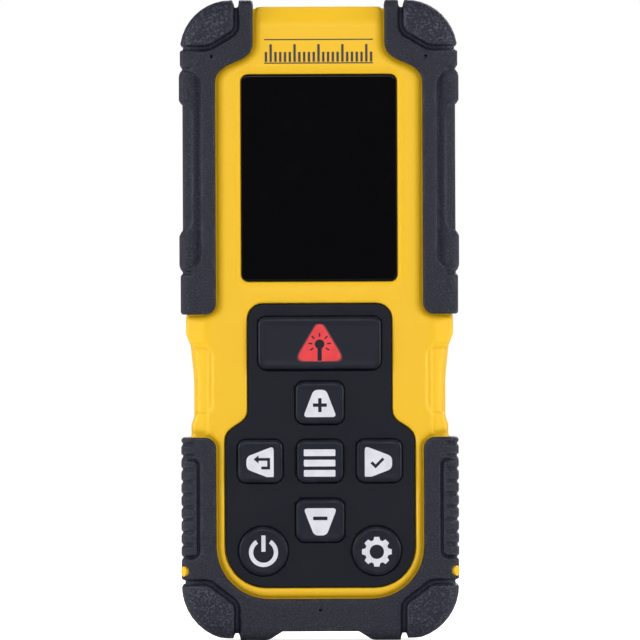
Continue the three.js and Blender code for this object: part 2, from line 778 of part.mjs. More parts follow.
function coil(x, start, rise) {
  const wire = new THREE.Shape(distinct(arc(0, 0, contact.wire / 2, 0, 360)));
  const path = new Coil(x, start, rise);
  const geometry = new THREE.ExtrudeGeometry(wire, { steps: 36, bevelEnabled: false, extrudePath: path });
  return toSolid(geometry);
}

function contactPlate(left, right, plate) {
  return plateZ(roundedBox(left, right, cell.y - 4.6, cell.y + 4.4, 0.8), plate.low, plate.high);
}

const coilRise = contact.springHeight - contact.wire / 2;
addPiece(
  'battery_negative_contact',
  join(contactPlate(-10.6, -0.7, lowPlate), coil(-cell.x, lowPlate.high - 0.05, coilRise)),
  'nickel',
);
addPiece('battery_positive_contact', contactPlate(0.7, 10.6, lowPlate), 'nickel');
addPiece(
  'battery_bridge_contact',
  join(contactPlate(-10.6, 10.6, highPlate), coil(cell.x, highPlate.low + 0.05, -coilRise)),
  'nickel',
);

// ---- Battery door ------------------------------------------------------------------------

function batteryDoor() {
  const { halfWidth: half, bottom, inner, plateTop, hingeY, hingeZ, barrelRadius, barrelHalfLength } = door;
  const back = shell.shownHalfDepth;
  const plate = prism(roundedBox(-half, half, bottom, plateTop, 0.5), inner, back);
  const neck = prism(
    roundedBox(-barrelHalfLength, barrelHalfLength, plateTop - 1, hingeZ, 0.2),
    inner,
    back,
  );
  const barrelRod = rodX(hingeY, hingeZ, barrelRadius, -barrelHalfLength, barrelHalfLength);
  const pinHole = rodX(hingeY, hingeZ, door.pinBore, -20, 20);
  const { bottom: low, top, travel, front, halfWidth: latchHalf } = latch;
  const latchSlot = prism(
    roundedBox(-latchHalf - gap, latchHalf + gap, low - gap, top + travel + gap, 0.8),
    front - gap / 2,
    far,
  );
  return cut(join(plate, neck, barrelRod), pinHole, latchSlot);
}

addPiece('battery_door', batteryDoor(), 'keypadPlastic');
addPiece('battery_door_pin', rodX(door.hingeY, door.hingeZ, door.pinRadius, -12.2, 12.2, 16), 'steel');

const latchBack = shell.shownHalfDepth + latch.proud;
const latchRidges = [0, 1, 2].map((i) => {
  const z = latch.bottom + 1 + i * 1.15;
  return block([-3.8, latchBack - 0.1, z - 0.25], [3.8, latchBack + 0.35, z + 0.25]);
});
addPiece(
  'battery_door_latch',
  join(
    prism(centredBox(latch.halfWidth, latch.bottom, latch.top, 0.7), latch.front, latchBack),
    ...latchRidges,
  ),
  'yellowPlastic',
);

const doorSealOutline = centredBox(bay.halfWidth + 0.9, bay.bottom - 0.9, bay.top + 0.45, 1.2);
addPiece(
  'battery_door_seal',
  cut(prism(doorSealOutline, 12.12, 12.62), prism(grown(doorSealOutline, -0.8), 0, far)),
  'sealRubber',
);

// ---- Bush, screws and label --------------------------------------------------------------

addPiece(
  'tripod_bush',
  cut(
    rodY(0, tripod.z, tripod.bushRadius, halfDepth - tripod.depth, halfDepth, 32),
    rodY(0, tripod.z, tripod.boreRadius, halfDepth - tripod.depth + 1, far, 32),
  ),
  'brass',
);

for (const { name, x, z } of screwSpots) {
  const head = rodY(x, z, screws.headRadius, screws.headInner, screws.headOuter);
  const shank = rodY(x, z, screws.shankRadius, screws.tip, screws.headInner + 0.2, 14);
  const socket = rodY(x, z, screws.socketRadius, screws.socketInner, far, 6);
  addPiece(name, cut(join(head, shank), socket), 'steel');
}

const labelFront = shell.shownHalfDepth - label.recess + 0.15;
addPiece(
  'label_plate',
  prism(centredBox(label.halfWidth, label.bottom, label.top, 1), labelFront, labelFront + label.thick),
  'blankLabel',
);

export default meter;
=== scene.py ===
# Looks for the laser distance meter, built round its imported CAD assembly.
# Shapes are worked in millimetres and scaled to metres when they become meshes.
# +X right as seen from the front, -Y towards the user, +Z along the beam.
import math

import bmesh
import bpy
import numpy as np
import openvdb
from mathutils import Matrix, Vector


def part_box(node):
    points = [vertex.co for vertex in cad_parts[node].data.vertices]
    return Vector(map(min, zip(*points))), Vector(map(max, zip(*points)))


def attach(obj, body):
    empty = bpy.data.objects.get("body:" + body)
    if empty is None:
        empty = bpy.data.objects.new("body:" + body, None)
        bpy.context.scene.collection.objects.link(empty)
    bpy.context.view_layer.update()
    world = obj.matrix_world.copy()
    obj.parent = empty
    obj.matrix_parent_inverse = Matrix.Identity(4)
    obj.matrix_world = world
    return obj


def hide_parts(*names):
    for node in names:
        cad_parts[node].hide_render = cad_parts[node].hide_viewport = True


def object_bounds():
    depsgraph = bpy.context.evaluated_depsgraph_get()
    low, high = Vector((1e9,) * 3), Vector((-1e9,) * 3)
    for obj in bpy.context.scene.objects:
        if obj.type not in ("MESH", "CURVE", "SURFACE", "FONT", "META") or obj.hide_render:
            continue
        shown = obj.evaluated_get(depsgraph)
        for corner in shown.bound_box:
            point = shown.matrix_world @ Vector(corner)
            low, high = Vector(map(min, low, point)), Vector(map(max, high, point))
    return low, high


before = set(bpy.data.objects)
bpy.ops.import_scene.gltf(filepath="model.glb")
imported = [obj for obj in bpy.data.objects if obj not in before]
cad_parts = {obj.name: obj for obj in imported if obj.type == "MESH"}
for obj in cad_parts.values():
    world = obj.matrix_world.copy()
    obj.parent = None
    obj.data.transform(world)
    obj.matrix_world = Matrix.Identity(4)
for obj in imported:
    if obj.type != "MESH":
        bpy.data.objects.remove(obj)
cadLow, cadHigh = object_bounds()
mm = 0.001


def boxOf(node):
    low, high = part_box(node)
    return Vector(low) / mm, Vector(high) / mm


# Outlines: lists of (x, z) points in the front plane, or (x, y) across the beam.

def arc(x, z, radius, start, end):
    steps = max(2, round(abs(end - start) / 90 * (2.5 + 2.2 * math.sqrt(radius))))
    turns = [math.radians(start + (end - start) * i / steps) for i in range(steps + 1)]
    return [(x + radius * math.cos(a), z + radius * math.sin(a)) for a in turns]


def sBend(start, end, pull=0.55, steps=14):
    # leaves and arrives upright
    rise = (end[1] - start[1]) * pull
    knots = [start, (start[0], start[1] + rise), (end[0], end[1] - rise), end]
    points = []
    for i in range(steps + 1):
        t = i / steps
        weights = ((1 - t) ** 3, 3 * t * (1 - t) ** 2, 3 * t * t * (1 - t), t ** 3)
        points.append(tuple(sum(w * k[axis] for w, k in zip(weights, knots)) for axis in (0, 1)))
    return points


def mirrored(right):
    return right + [(-x, z) for x, z in reversed(right) if x > 1e-6]


def flipped(outline):
    return [(-x, z) for x, z in reversed(outline)]


def distinct(outline):
    return [p for i, p in enumerate(outline) if math.dist(p, outline[i - 1]) > 1e-3]


def roundedBox(left, right, bottom, top, radius):
    return distinct(
        arc(right - radius, bottom + radius, radius, -90, 0)
        + arc(right - radius, top - radius, radius, 0, 90)
        + arc(left + radius, top - radius, radius, 90, 180)
        + arc(left + radius, bottom + radius, radius, 180, 270)
    )


def centredBox(half, bottom, top, radius):
    return roundedBox(-half, half, bottom, top, radius)


# Clay: a signed distance held on a grid of points, negative inside the material.

def clayBlock(low, high, step):
    axes = [np.arange(a, b + step, step, dtype=np.float32) for a, b in zip(low, high)]
    x, y, z = np.meshgrid(*axes, indexing="ij", sparse=True)
    return {"low": np.array(low, float), "step": step, "x": x, "y": y, "z": z}


def clayAround(low, high, room, step):
    # a block that leaves some room round a box
    room = Vector(room) if isinstance(room, tuple) else Vector((room, room, room))
    return clayBlock(low - room, high + room, step)


def edgeGap(u, v, outline, closed=True):
    # distance to an outline's line, and whether each point lies inside it
    nearest = np.full(np.broadcast_shapes(u.shape, v.shape), 1e9, np.float32)
    within = np.zeros(nearest.shape, bool)
    ends = outline[1:] + outline[:1] if closed else outline[1:]
    for (au, av), (bu, bv) in zip(outline, ends):
        du, dv = bu - au, bv - av
        along = np.clip(((u - au) * du + (v - av) * dv) / (du * du + dv * dv), 0, 1)
        np.minimum(nearest, (u - au - along * du) ** 2 + (v - av - along * dv) ** 2, out=nearest)
        if abs(dv) > 1e-9:
            within ^= ((av > v) != (bv > v)) & (u < du * (v - av) / dv + au)
    return np.sqrt(nearest), within


def fence(clay, outline, across=False):
    # signed distance to an outline in the front plane, or across the beam
    gap, within = edgeGap(clay["x"], clay["y"] if across else clay["z"], outline)
    return np.where(within, -gap, gap)


def track(clay, points, halfWidth):
    return edgeGap(clay["x"], clay["z"], points, closed=False)[0] - halfWidth


def rod(clay, x, z, radius):
    return np.hypot(clay["x"] - x, clay["z"] - z) - radius


def softMax(a, b, blend):
    spread = np.maximum(blend - np.abs(a - b), 0)
    return np.maximum(a, b) + spread * spread / (4 * blend)


def softMin(a, b, blend):
    return -softMax(-a, -b, blend)


def slabField(edge, depth, half, rounding):
    # an outline given depth, with its rim rounded
    a = edge + rounding
    b = depth - half + rounding
    return np.hypot(np.maximum(a, 0), np.maximum(b, 0)) + np.minimum(np.maximum(a, b), 0) - rounding


def plateField(clay, edge, low, high, rounding):
    # a plate with this outline between the front and back faces of a box
    return slabField(edge, np.abs(clay["y"] - (low.y + high.y) / 2), (high.y - low.y) / 2, rounding)


def meet(*fields):
    # what all of these hold in common
    shared = fields[0]
    for field in fields[1:]:
        shared = np.maximum(shared, field)
    return shared


def ramp(value, start, end):
    t = np.clip((value - start) / (end - start), 0, 1)
    return t * t * (3 - 2 * t)


def sample(field, clay, spots):
    grid = (spots - clay["low"]) / clay["step"]
    cell = np.clip(np.floor(grid).astype(int), 0, np.array(field.shape) - 2)
    part = grid - cell
    total = 0
    for corner in range(8):
        offset = np.array([corner & 1, corner >> 1 & 1, corner >> 2])
        weight = np.prod(np.where(offset == 1, part, 1 - part), axis=1)
        at = cell + offset
        total = total + weight * field[at[:, 0], at[:, 1], at[:, 2]]
    return total


def meshFrom(name, points, faces):
    # points in millimetres; faces are arrays of corner numbers, one array for each corner count
    mesh = bpy.data.meshes.new(name)
    mesh.vertices.add(len(points))
    mesh.vertices.foreach_set("co", (np.asarray(points) * mm).astype(np.float32).ravel())
    faces = [f for f in faces if len(f)]
    sizes = np.concatenate([np.full(len(f), f.shape[1]) for f in faces])
    mesh.loops.add(int(sizes.sum()))
    mesh.loops.foreach_set("vertex_index", np.concatenate([f.ravel() for f in faces]).astype(np.int32))
    mesh.polygons.add(len(sizes))
    starts = np.concatenate([[0], np.cumsum(sizes)[:-1]])
    mesh.polygons.foreach_set("loop_start", starts.astype(np.int32))
    mesh.polygons.foreach_set("use_smooth", np.ones(len(sizes), bool))
    mesh.update(calc_edges=True)
    return mesh


def addPiece(name, mesh, slot, replaced=(), body="case", finish=None):
    piece = bpy.data.objects.new(name, mesh)
    bpy.context.scene.collection.objects.link(piece)
    mesh.materials.clear()
    mesh.materials.append(finish or finishes[slot])
    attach(piece, body)
    if replaced:
        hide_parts(*replaced)
    return piece


def readClay(clay, field, merge=0.0006):
    # the clay's surface, with normals and bends read from the field itself
    step = clay["step"]
    grid = openvdb.FloatGrid(3.0)
    grid.copyFromArray(np.clip(field / step, -3, 3).astype(np.float32))
    points, triangles, quads = grid.convertToPolygons(0.0, merge)
    spots = clay["low"] + points * step
    reach = 0.8 * step
    slope = np.zeros_like(spots)
    bend = -6 * sample(field, clay, spots)
    for axis in range(3):
        shift = np.zeros(3)
        shift[axis] = reach
        ahead, behind = sample(field, clay, spots + shift), sample(field, clay, spots - shift)
        slope[:, axis] = ahead - behind
        bend += ahead + behind
    slope /= np.maximum(np.linalg.norm(slope, axis=1, keepdims=True), 1e-9)
    faces = [quads.astype(int), triangles.astype(int)]
    first = faces[0] if len(faces[0]) else faces[1]
    a, b, c = (spots[first[:, i]] for i in range(3))
    outward = np.einsum("ij,ij->i", np.cross(b - a, c - a), slope[first[:, 0]]).sum()
    if outward < 0:
        faces = [f[:, ::-1] for f in faces]
    return {"spots": spots, "faces": faces, "slope": slope, "bend": bend / (reach * reach)}


bendFrom, bendRange = 0.25, 1.6  # how sharp a bend counts as an edge or a groove


def clayMesh(name, cast, flip=False):
    spots, slope, faces = cast["spots"].copy(), cast["slope"].copy(), cast["faces"]
    if flip:
        spots[:, 0] *= -1
        slope[:, 0] *= -1
        faces = [f[:, ::-1] for f in faces]
    mesh = meshFrom(name, spots, faces)
    for label, value in (("edge", cast["bend"]), ("hollow", -cast["bend"])):
        setMask(mesh, label, np.clip((value - bendFrom) / bendRange, 0, 1))
    mesh.normals_split_custom_set_from_vertices(slope.astype(np.float32))
    return mesh


def castPiece(name, clay, field, slot, replaced, body="case"):
    return addPiece(name, clayMesh(name, readClay(clay, field)), slot, replaced, body)


def setMask(mesh, label, values):
    mask = mesh.attributes.new(label, "FLOAT", "POINT")
    mask.data.foreach_set("value", np.asarray(values, np.float32))


def pointsOf(mesh):
    points = np.zeros(len(mesh.vertices) * 3, np.float32)
    mesh.vertices.foreach_get("co", points)
    return points.reshape(-1, 3) / mm


# Finishes.

def paint(code):
    # a screen colour such as f7ca32, as the linear colour that nodes take
    parts = [int(code[i:i + 2], 16) / 255 for i in (0, 2, 4)]
    return tuple(p / 12.92 if p < 0.04045 else ((p + 0.055) / 1.055) ** 2.4 for p in parts) + (1,)


def place(tree, kind, inputs=None, **settings):
    node = tree.nodes.new("ShaderNode" + kind)
    for key, value in settings.items():
        setattr(node, key, value)
    for key, value in (inputs or {}).items():
        if isinstance(value, bpy.types.NodeSocket):
            tree.links.new(value, node.inputs[key])
        else:
            node.inputs[key].default_value = value
    return node


def blendColors(tree, share, first, second, mode="MIX"):
    node = place(tree, "Mix", {0: share, 6: first, 7: second}, data_type="RGBA", blend_type=mode)
    return node.outputs[2]


def calc(tree, operation, first, second=0.0, third=None, clamp=False):
    inputs = {0: first, 1: second}
    if third is not None:
        inputs[2] = third
    return place(tree, "Math", inputs, operation=operation, use_clamp=clamp).outputs[0]


def noise(tree, where, scale, detail=2.0, **more):
    inputs = {"Vector": where, "Scale": scale, "Detail": detail}
    inputs.update({key.capitalize(): value for key, value in more.items()})
    return place(tree, "TexNoise", inputs).outputs["Fac"]


def drawn(tree, here, scale):
    # noise pulled out along one axis
    return place(tree, "Mapping", {"Vector": here, "Scale": scale}).outputs[0]


def maskOf(tree, label):
    return place(tree, "Attribute", attribute_name=label).outputs["Fac"]


def spread(tree, value, low, high, toLow=0.0, toHigh=1.0):
    inputs = {"Value": value, "From Min": low, "From Max": high, "To Min": toLow, "To Max": toHigh}
    return place(tree, "MapRange", inputs, clamp=True).outputs[0]


def nodeGroup(name, inputs, outputs):
    group = bpy.data.node_groups.new(name, "ShaderNodeTree")
    kinds = {"color": "NodeSocketColor", "value": "NodeSocketFloat", "vector": "NodeSocketVector"}
    for label, (kind, start) in inputs.items():
        socket = group.interface.new_socket(label, in_out="INPUT", socket_type=kinds[kind])
        if start is not None:
            socket.default_value = start
    for label, kind in outputs.items():
        group.interface.new_socket(label, in_out="OUTPUT", socket_type=kinds[kind])
    return group, group.nodes.new("NodeGroupInput").outputs, group.nodes.new("NodeGroupOutput").inputs


def buildMouldGrain():
    # fine spark texture of a steel mould, with a coarser leather laid over it where Coarse is up, and a mask
    # of its high points for painted glints
    group, given, result = nodeGroup(
        "mouldGrain",
        {
            "Vector": ("vector", None),
            "Fine Scale": ("value", 4200),
            "Coarse Scale": ("value", 1500),
            "Coarse": ("value", 0.0),
        },
        {"Height": "value", "Speckle": "value"},
    )
    fine = noise(group, given["Vector"], given["Fine Scale"], 3.0, roughness=0.6)
    cells = place(group, "TexVoronoi", {
        "Vector": given["Vector"], "Scale": given["Coarse Scale"], "Randomness": 1.0, "Smoothness": 0.6,
    }, feature="SMOOTH_F1")
    worms = noise(group, given["Vector"], given["Coarse Scale"], 2.0, distortion=0.6)
    leather = calc(group, "MULTIPLY_ADD", cells.outputs["Distance"], 0.9, worms)
    both = place(group, "Mix", {
        0: given["Coarse"], 2: fine, 3: calc(group, "MULTIPLY", leather, 0.55),
    }).outputs[0]
    group.links.new(both, result["Height"])
    # the grain's high points, where the finishes paint pale glints in place of highlights
    group.links.new(spread(group, both, 0.35, 0.7), result["Speckle"])
    return group


def buildEdgeWear():
    # rubbed corners, broken up so that no edge wears evenly
    group, given, result = nodeGroup(
        "edgeWear",
        {"Vector": ("vector", None), "Amount": ("value", 0.5), "Patch Scale": ("value", 260)},
        {"Mask": "value"},
    )
    patches = noise(group, given["Vector"], given["Patch Scale"], 6.0, roughness=0.7)
    broken = spread(group, patches, 0.44, 0.68)
    rubbed = calc(group, "MULTIPLY", spread(group, maskOf(group, "edge"), 0.15, 0.9), broken)
    group.links.new(calc(group, "MULTIPLY", rubbed, given["Amount"], clamp=True), result["Mask"])
    return group


def buildCreaseDustAndShade():
    # dust and skin oil that stay in grooves and drift over open faces; where the crease colour is a darker
    # tone of the part, as on the yellow, the grooves get painted shade
    group, given, result = nodeGroup(
        "settledDust",
        {"Vector": ("vector", None), "Groove": ("value", 0.5), "Film": ("value", 0.1)},
        {"Mask": "value", "Smudge": "value"},
    )
    clouds = noise(group, given["Vector"], 75.0, 5.0, roughness=0.62)
    film = calc(group, "MULTIPLY", spread(group, clouds, 0.45, 0.75), given["Film"])
    kept = calc(group, "MULTIPLY", maskOf(group, "hollow"), given["Groove"])
    settled = calc(group, "MULTIPLY", kept, clouds)
    group.links.new(calc(group, "ADD", settled, film, clamp=True), result["Mask"])
    group.links.new(clouds, result["Smudge"])
    return group


mouldGrain = buildMouldGrain()
edgeWear = buildEdgeWear()
settledDust = buildCreaseDustAndShade()


def useGroup(tree, group, inputs):
    return place(tree, "Group", inputs, node_tree=group).outputs


def startMaterial(name):
    material = bpy.data.materials.new(name)
    material.use_nodes = True
    tree = material.node_tree
    shader = tree.nodes["Principled BSDF"]
    here = place(tree, "TexCoord").outputs["Object"]
    return material, tree, shader, here


def dress(tree, shader, color, rough, height=None, depth=0.0):
    tree.links.new(color, shader.inputs["Base Color"])
    tree.links.new(rough, shader.inputs["Roughness"])
    if height is not None:
        bump = place(tree, "Bump", {"Height": height, "Distance": depth * mm, "Strength": 1.0})
        tree.links.new(bump.outputs[0], shader.inputs["Normal"])


def setPlain(shader, **values):
    for name, value in values.items():
        shader.inputs[plainSockets[name]].default_value = value


plainSockets = {
    "metallic": "Metallic", "specular": "Specular IOR Level", "coat": "Coat Weight",
    "coatRoughness": "Coat Roughness", "transmission": "Transmission Weight", "bend": "IOR",
}


def mouldedFinish(name, look):
    # a moulded plastic or rubber: grain with painted glints on its high points, rubbed edges, dust in the
    # grooves with painted shade on the yellow, drifting tone
    material, tree, shader, here = startMaterial(name)
    coarse = look.get("coarse", 0.0)
    if look.get("coarseMask"):
        coarse = maskOf(tree, look["coarseMask"])
    grain = useGroup(tree, mouldGrain, {
        "Vector": here, "Fine Scale": look["grainScale"], "Coarse Scale": look.get("coarseScale", 1500),
        "Coarse": coarse,
    })
    wear = useGroup(tree, edgeWear, {"Vector": here, "Amount": look["wear"]})["Mask"]
    dust = useGroup(tree, settledDust, {"Vector": here, "Groove": look["groove"], "Film": look["film"]})
    tone = blendColors(tree, dust["Smudge"], paint(look["deep"]), paint(look["color"]))
    # painted glints: the pale colour on the grain's high points stands in for tiny highlights
    specks = spread(tree, grain["Speckle"], look.get("speckFrom", 0.0), 1.0, 0.0, look["speckle"])
    glinted = blendColors(tree, specks, tone, paint(look["light"]))
    rubbed = blendColors(tree, wear, glinted, paint(look["worn"]))
    # the crease colour goes into the grooves: dust on the dark parts, painted shade (a darker yellow) on the
    # yellow
    dustedAndShaded = blendColors(tree, dust["Mask"], rubbed, paint(look["dust"]))
    rough = spread(tree, dust["Smudge"], 0.3, 0.75, look["roughness"] - 0.05, look["roughness"] + 0.06)
    polished = calc(tree, "MULTIPLY_ADD", wear, -0.14, rough)
    dress(tree, shader, dustedAndShaded, polished, grain["Height"], look["grainDepth"])
    setPlain(shader, specular=look.get("specular", 0.5))
    return material


# In each look the pale colour and its share set the painted glints, pale specks that stand in for highlights
# on the grain.
yellowLook = {
    # the crease colour here is a darker yellow: painted shade in the creases, with a faint drift over open
    # faces
    "color": "fbc821", "deep": "f8c11b", "light": "fdd034", "worn": "fdd765", "dust": "c98c14",
    "roughness": 0.46, "specular": 0.3, "grainScale": 5200, "grainDepth": 0.012, "speckle": 0.25,
    "wear": 0.35, "groove": 0.35, "film": 0.03,
}
rubberLook = {
    "color": "151828", "deep": "101321", "light": "626680", "worn": "4a4c5c", "dust": "3b3b44",
    "roughness": 0.46, "specular": 0.36, "grainScale": 3600, "grainDepth": 0.26,
    "speckle": 0.42, "speckFrom": 0.5, "coarseMask": "pad", "coarseScale": 2500,
    "wear": 0.5, "groove": 0.15, "film": 0.05,
}
padLook = {
    "color": "0a101e", "deep": "080d19", "light": "131a2a", "worn": "262a36", "dust": "22232a",
    "roughness": 0.5, "specular": 0.2, "grainScale": 5200, "grainDepth": 0.010, "speckle": 0.2,
    "wear": 0.3, "groove": 0.1, "film": 0.03,
}
keyLook = dict(padLook, color="0d1322", deep="0a0f1c", worn="363a48", roughness=0.42, specular=0.22, wear=0.6)
blackLook = {
    "color": "1c1d21", "deep": "17181b", "light": "26272c", "worn": "34353b", "dust": "4a4845",
    "roughness": 0.5, "grainScale": 4200, "grainDepth": 0.02, "speckle": 0.3,
    "wear": 0.5, "groove": 0.4, "film": 0.08,
}
foamLook = dict(blackLook, color="2b2b2c", deep="202021", roughness=0.9, grainScale=2600, grainDepth=0.12)
sealLook = dict(
    blackLook, color="8a8d92", deep="7c7f85", light="9a9da2", worn="a8abb0", dust="6d6a66",
    roughness=0.72, grainDepth=0.015,
)
siliconeLook = dict(sealLook, color="b9bec4", deep="aab0b7", light="c8cdd2", worn="d2d6da", dust="8a8781")

# finishes by slot
finishes = {
    "yellow_plastic": mouldedFinish("yellowPlastic", yellowLook),
    "grip_rubber": mouldedFinish("gripRubber", rubberLook),
    "keypad_plastic": mouldedFinish("padPlastic", padLook),
    "key_rubber": mouldedFinish("keyRubber", keyLook),
    "black_plastic": mouldedFinish("blackPlastic", blackLook),
    "foam": mouldedFinish("gasketFoam", foamLook),
    "seal_rubber": mouldedFinish("sealRubber", sealLook),
    "silicone": mouldedFinish("switchSilicone", siliconeLook),
}


def inkFinish(name, look):
    # screen-printed ink: a slightly uneven film that has worn thin in specks
    material, tree, shader, here = startMaterial(name)
    pores = noise(tree, here, 6500.0, 3.0)
    clouds = noise(tree, here, 420.0, 4.0)
    tone = blendColors(tree, spread(tree, clouds, 0.35, 0.65), paint(look["color"]), paint(look["thin"]))
    specks = spread(tree, pores, 0.62, 0.72, 0.0, look["specks"])
    printed = blendColors(tree, specks, tone, paint(look["under"]))
    dress(tree, shader, printed, spread(tree, pores, 0.3, 0.7, 0.38, 0.52), pores, 0.004)
    return material


whiteInk = inkFinish("whiteInk", {"color": "e6e8f0", "thin": "dadce6", "under": "9a9ca6", "specks": 0.25})
redInk = inkFinish("redInk", {"color": "f03238", "thin": "e22a31", "under": "7c2228", "specks": 0.25})
darkRedInk = inkFinish("darkRedInk", {"color": "7a2430", "thin": "6a202b", "under": "3a1a22", "specks": 0.25})
blackInk = inkFinish("blackInk", {"color": "2a2530", "thin": "241f29", "under": "5c4a20", "specks": 0.35})


def metalFinish(name, look):
    # drawn or machined metal with tool lines along one axis and dulled patches
    material, tree, shader, here = startMaterial(name)
    lines = noise(tree, drawn(tree, here, look["lines"]), 1.0, 4.0)
    patches = noise(tree, here, 320.0, 5.0)
    dulled = spread(tree, patches, 0.5, 0.72, 0.0, look["tarnish"])
    tone = blendColors(tree, spread(tree, lines, 0.3, 0.7), paint(look["color"]), paint(look["light"]))
    dull = blendColors(tree, dulled, tone, paint(look["dull"]))
    rough = spread(tree, lines, 0.3, 0.7, look["roughness"] - 0.06, look["roughness"] + 0.08)
    dress(tree, shader, dull, calc(tree, "MULTIPLY_ADD", dulled, 0.3, rough), lines, 0.004)
    setPlain(shader, metallic=1.0)
    return material


metalLooks = {
    "steel": {"color": "a9abb0", "light": "c4c6ca", "dull": "6c6a68", "roughness": 0.32},
    "nickel": {"color": "c5c4be", "light": "dad9d3", "dull": "8b8880", "roughness": 0.26},
    "brass": {"color": "c29c48", "light": "e0bf6c", "dull": "7b5d2a", "roughness": 0.28},
}
for name, look in metalLooks.items():
    finishes[name] = metalFinish(name, dict(look, lines=(900, 9000, 900), tarnish=0.5))


def displayFinish():
    # tinted cover glass, black behind, with finger marks that only dull the gloss
    material, tree, shader, here = startMaterial("displayGlass")
    marks = noise(tree, here, 140.0, 6.0, roughness=0.7, distortion=1.2)
    hairs = noise(tree, drawn(tree, here, (4200, 900, 260)), 1.0)
    tone = blendColors(tree, marks, paint("040406"), paint("070709"))
    smeared = spread(tree, marks, 0.5, 0.8, 0.04, 0.14)
    dress(tree, shader, tone, calc(tree, "ADD", smeared, spread(tree, hairs, 0.7, 0.78, 0.0, 0.08)))
    setPlain(shader, specular=0.12)
    return material


def lensFinish(name, tint):
    # coated optical glass with a faint bloom of dust
    material, tree, shader, here = startMaterial(name)
    specks = noise(tree, here, 3800.0, 4.0)
    bloom = noise(tree, here, 300.0, 3.0)
    tone = blendColors(tree, bloom, paint(tint), paint("e8f2f4"))
    dress(tree, shader, tone, spread(tree, specks, 0.62, 0.75, 0.02, 0.22))
    setPlain(shader, transmission=0.92, bend=1.5, coat=0.6)
    return material


finishes["display_glass"] = displayFinish()
finishes["lens_glass"] = lensFinish("lensGlass", "bcd4e4")


def boardFinish():
    # green solder mask over copper tracks, with tinned pads in rows
    material, tree, shader, here = startMaterial("circuitBoard")
    grid = place(tree, "TexBrick", {
        "Vector": place(tree, "Mapping", {"Vector": here, "Rotation": (math.pi / 2, 0, 0)}).outputs[0],
        "Scale": 620.0, "Mortar Size": 0.06, "Color1": paint("1b5a36"), "Color2": paint("21693f"),
        "Mortar": paint("174b2d"),
    })
    dots = place(tree, "TexVoronoi", {"Vector": here, "Scale": 520.0, "Randomness": 0.25}).outputs["Distance"]
    tinned = spread(tree, dots, 0.2, 0.16)
    mottled = noise(tree, here, 900.0)
    mask = blendColors(tree, calc(tree, "MULTIPLY", mottled, 0.3), grid.outputs["Color"], paint("123b25"))
    color = blendColors(tree, tinned, mask, paint("c3c5c4"))
    dress(tree, shader, color, spread(tree, mottled, 0.3, 0.7, 0.3, 0.45), grid.outputs["Fac"], 0.03)
    tree.links.new(tinned, shader.inputs["Metallic"])
    return material


finishes["circuit_board"] = boardFinish()


def wrapFinish():
    # a cell's printed sleeve: blue with a copper-coloured top band and scuffs, bare steel at the ends
    material, tree, shader, here = startMaterial("cellWrap")
    along, bare = maskOf(tree, "along"), maskOf(tree, "bare")
    scuffs = noise(tree, drawn(tree, here, (900, 900, 160)), 1.0, 6.0)
    band = spread(tree, along, 0.77, 0.775)
    base = blendColors(tree, band, paint("2c5586"), paint("b9743a"))
    stripe = calc(tree, "MULTIPLY", spread(tree, along, 0.72, 0.725), spread(tree, along, 0.76, 0.755))
    printed = blendColors(tree, stripe, base, paint("e6e7ea"))
    worn = blendColors(tree, spread(tree, scuffs, 0.6, 0.75, 0.0, 0.5), printed, paint("8fa0b4"))
    color = blendColors(tree, bare, worn, paint("c8c9cb"))
    dress(tree, shader, color, spread(tree, scuffs, 0.4, 0.7, 0.24, 0.42), scuffs, 0.01)
    tree.links.new(bare, shader.inputs["Metallic"])
    return material


finishes["cell_jacket"] = wrapFinish()


def labelFinish():
    # brushed silver film
    material, tree, shader, here = startMaterial("labelFilm")
    brushed = noise(tree, drawn(tree, here, (260, 4000, 9000)), 1.0, 3.0)
    tone = blendColors(tree, brushed, paint("a9abae"), paint("cfd0d2"))
    dress(tree, shader, tone, spread(tree, brushed, 0.3, 0.7, 0.28, 0.44), brushed, 0.006)
    setPlain(shader, metallic=0.6)
    return material


finishes["label_film"] = labelFinish()
print("finishes are mixed")


# The case: its two yellow halves, worked as one body and parted along the seal line.

housingLow, housingHigh = boxOf("front_housing")
rearLow, rearHigh = boxOf("rear_housing")
gripLow, gripHigh = boxOf("upper_right_grip_front")
bumperLow, bumperHigh = boxOf("lower_bumper_front")
windowLow, windowHigh = boxOf("display_window")
padLow, padHigh = boxOf("keypad_fascia")
bezelLow, bezelHigh = boxOf("optics_bezel")
doorLow, doorHigh = boxOf("battery_door")
labelLow, labelHigh = boxOf("label_plate")
bushLow, bushHigh = boxOf("tripod_bush")
pinHigh = boxOf("battery_door_pin")[1]
latchLow, latchHigh = boxOf("battery_door_latch")
screwNodes = sorted(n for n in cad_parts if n.startswith("case_screw"))
faceY = housingLow.y  # the bare yellow face
seamY = (housingHigh.y + rearLow.y) / 2  # where the halves meet
seamBevel = 0.16

caseShape = {
    "sideHalf": 27.2,  # under the rubber
    "shoulderHalf": housingHigh.x,
    "waistHalf": 26.3,
    "corner": 9.7,
    "coveredDrop": 1.0,  # how much lower the shell lies under the rubber
    "rimBlend": 2.1,  # how softly the bare face falls away beside the rubber
    "sideChamfer": {"from": 23.6, "wide": 4.4, "deep": 2.3},
    "topChamfer": {"tall": 3.4, "deep": 2.0},
    "cavity": {"half": 24.2, "bottom": 4.8, "top": 128.4, "depth": 12.2, "corner": 8},
    "hollow": {"inner": 23.4, "low": 43, "high": 62.3, "corner": 0.9},
    "scoop": {"inner": 22.1, "low": 47.2, "high": 61.6, "corner": 2.2},
    "screenDip": {"wide": 1.9, "deep": 0.62},
    "post": {"radius": 2.6, "bore": 1.35, "from": -12.6, "to": -0.2, "boreFrom": -11},
    "throat": {"half": 11.1, "deep": 8.5, "corner": 2, "low": 126},
    "step": 0.25,
}
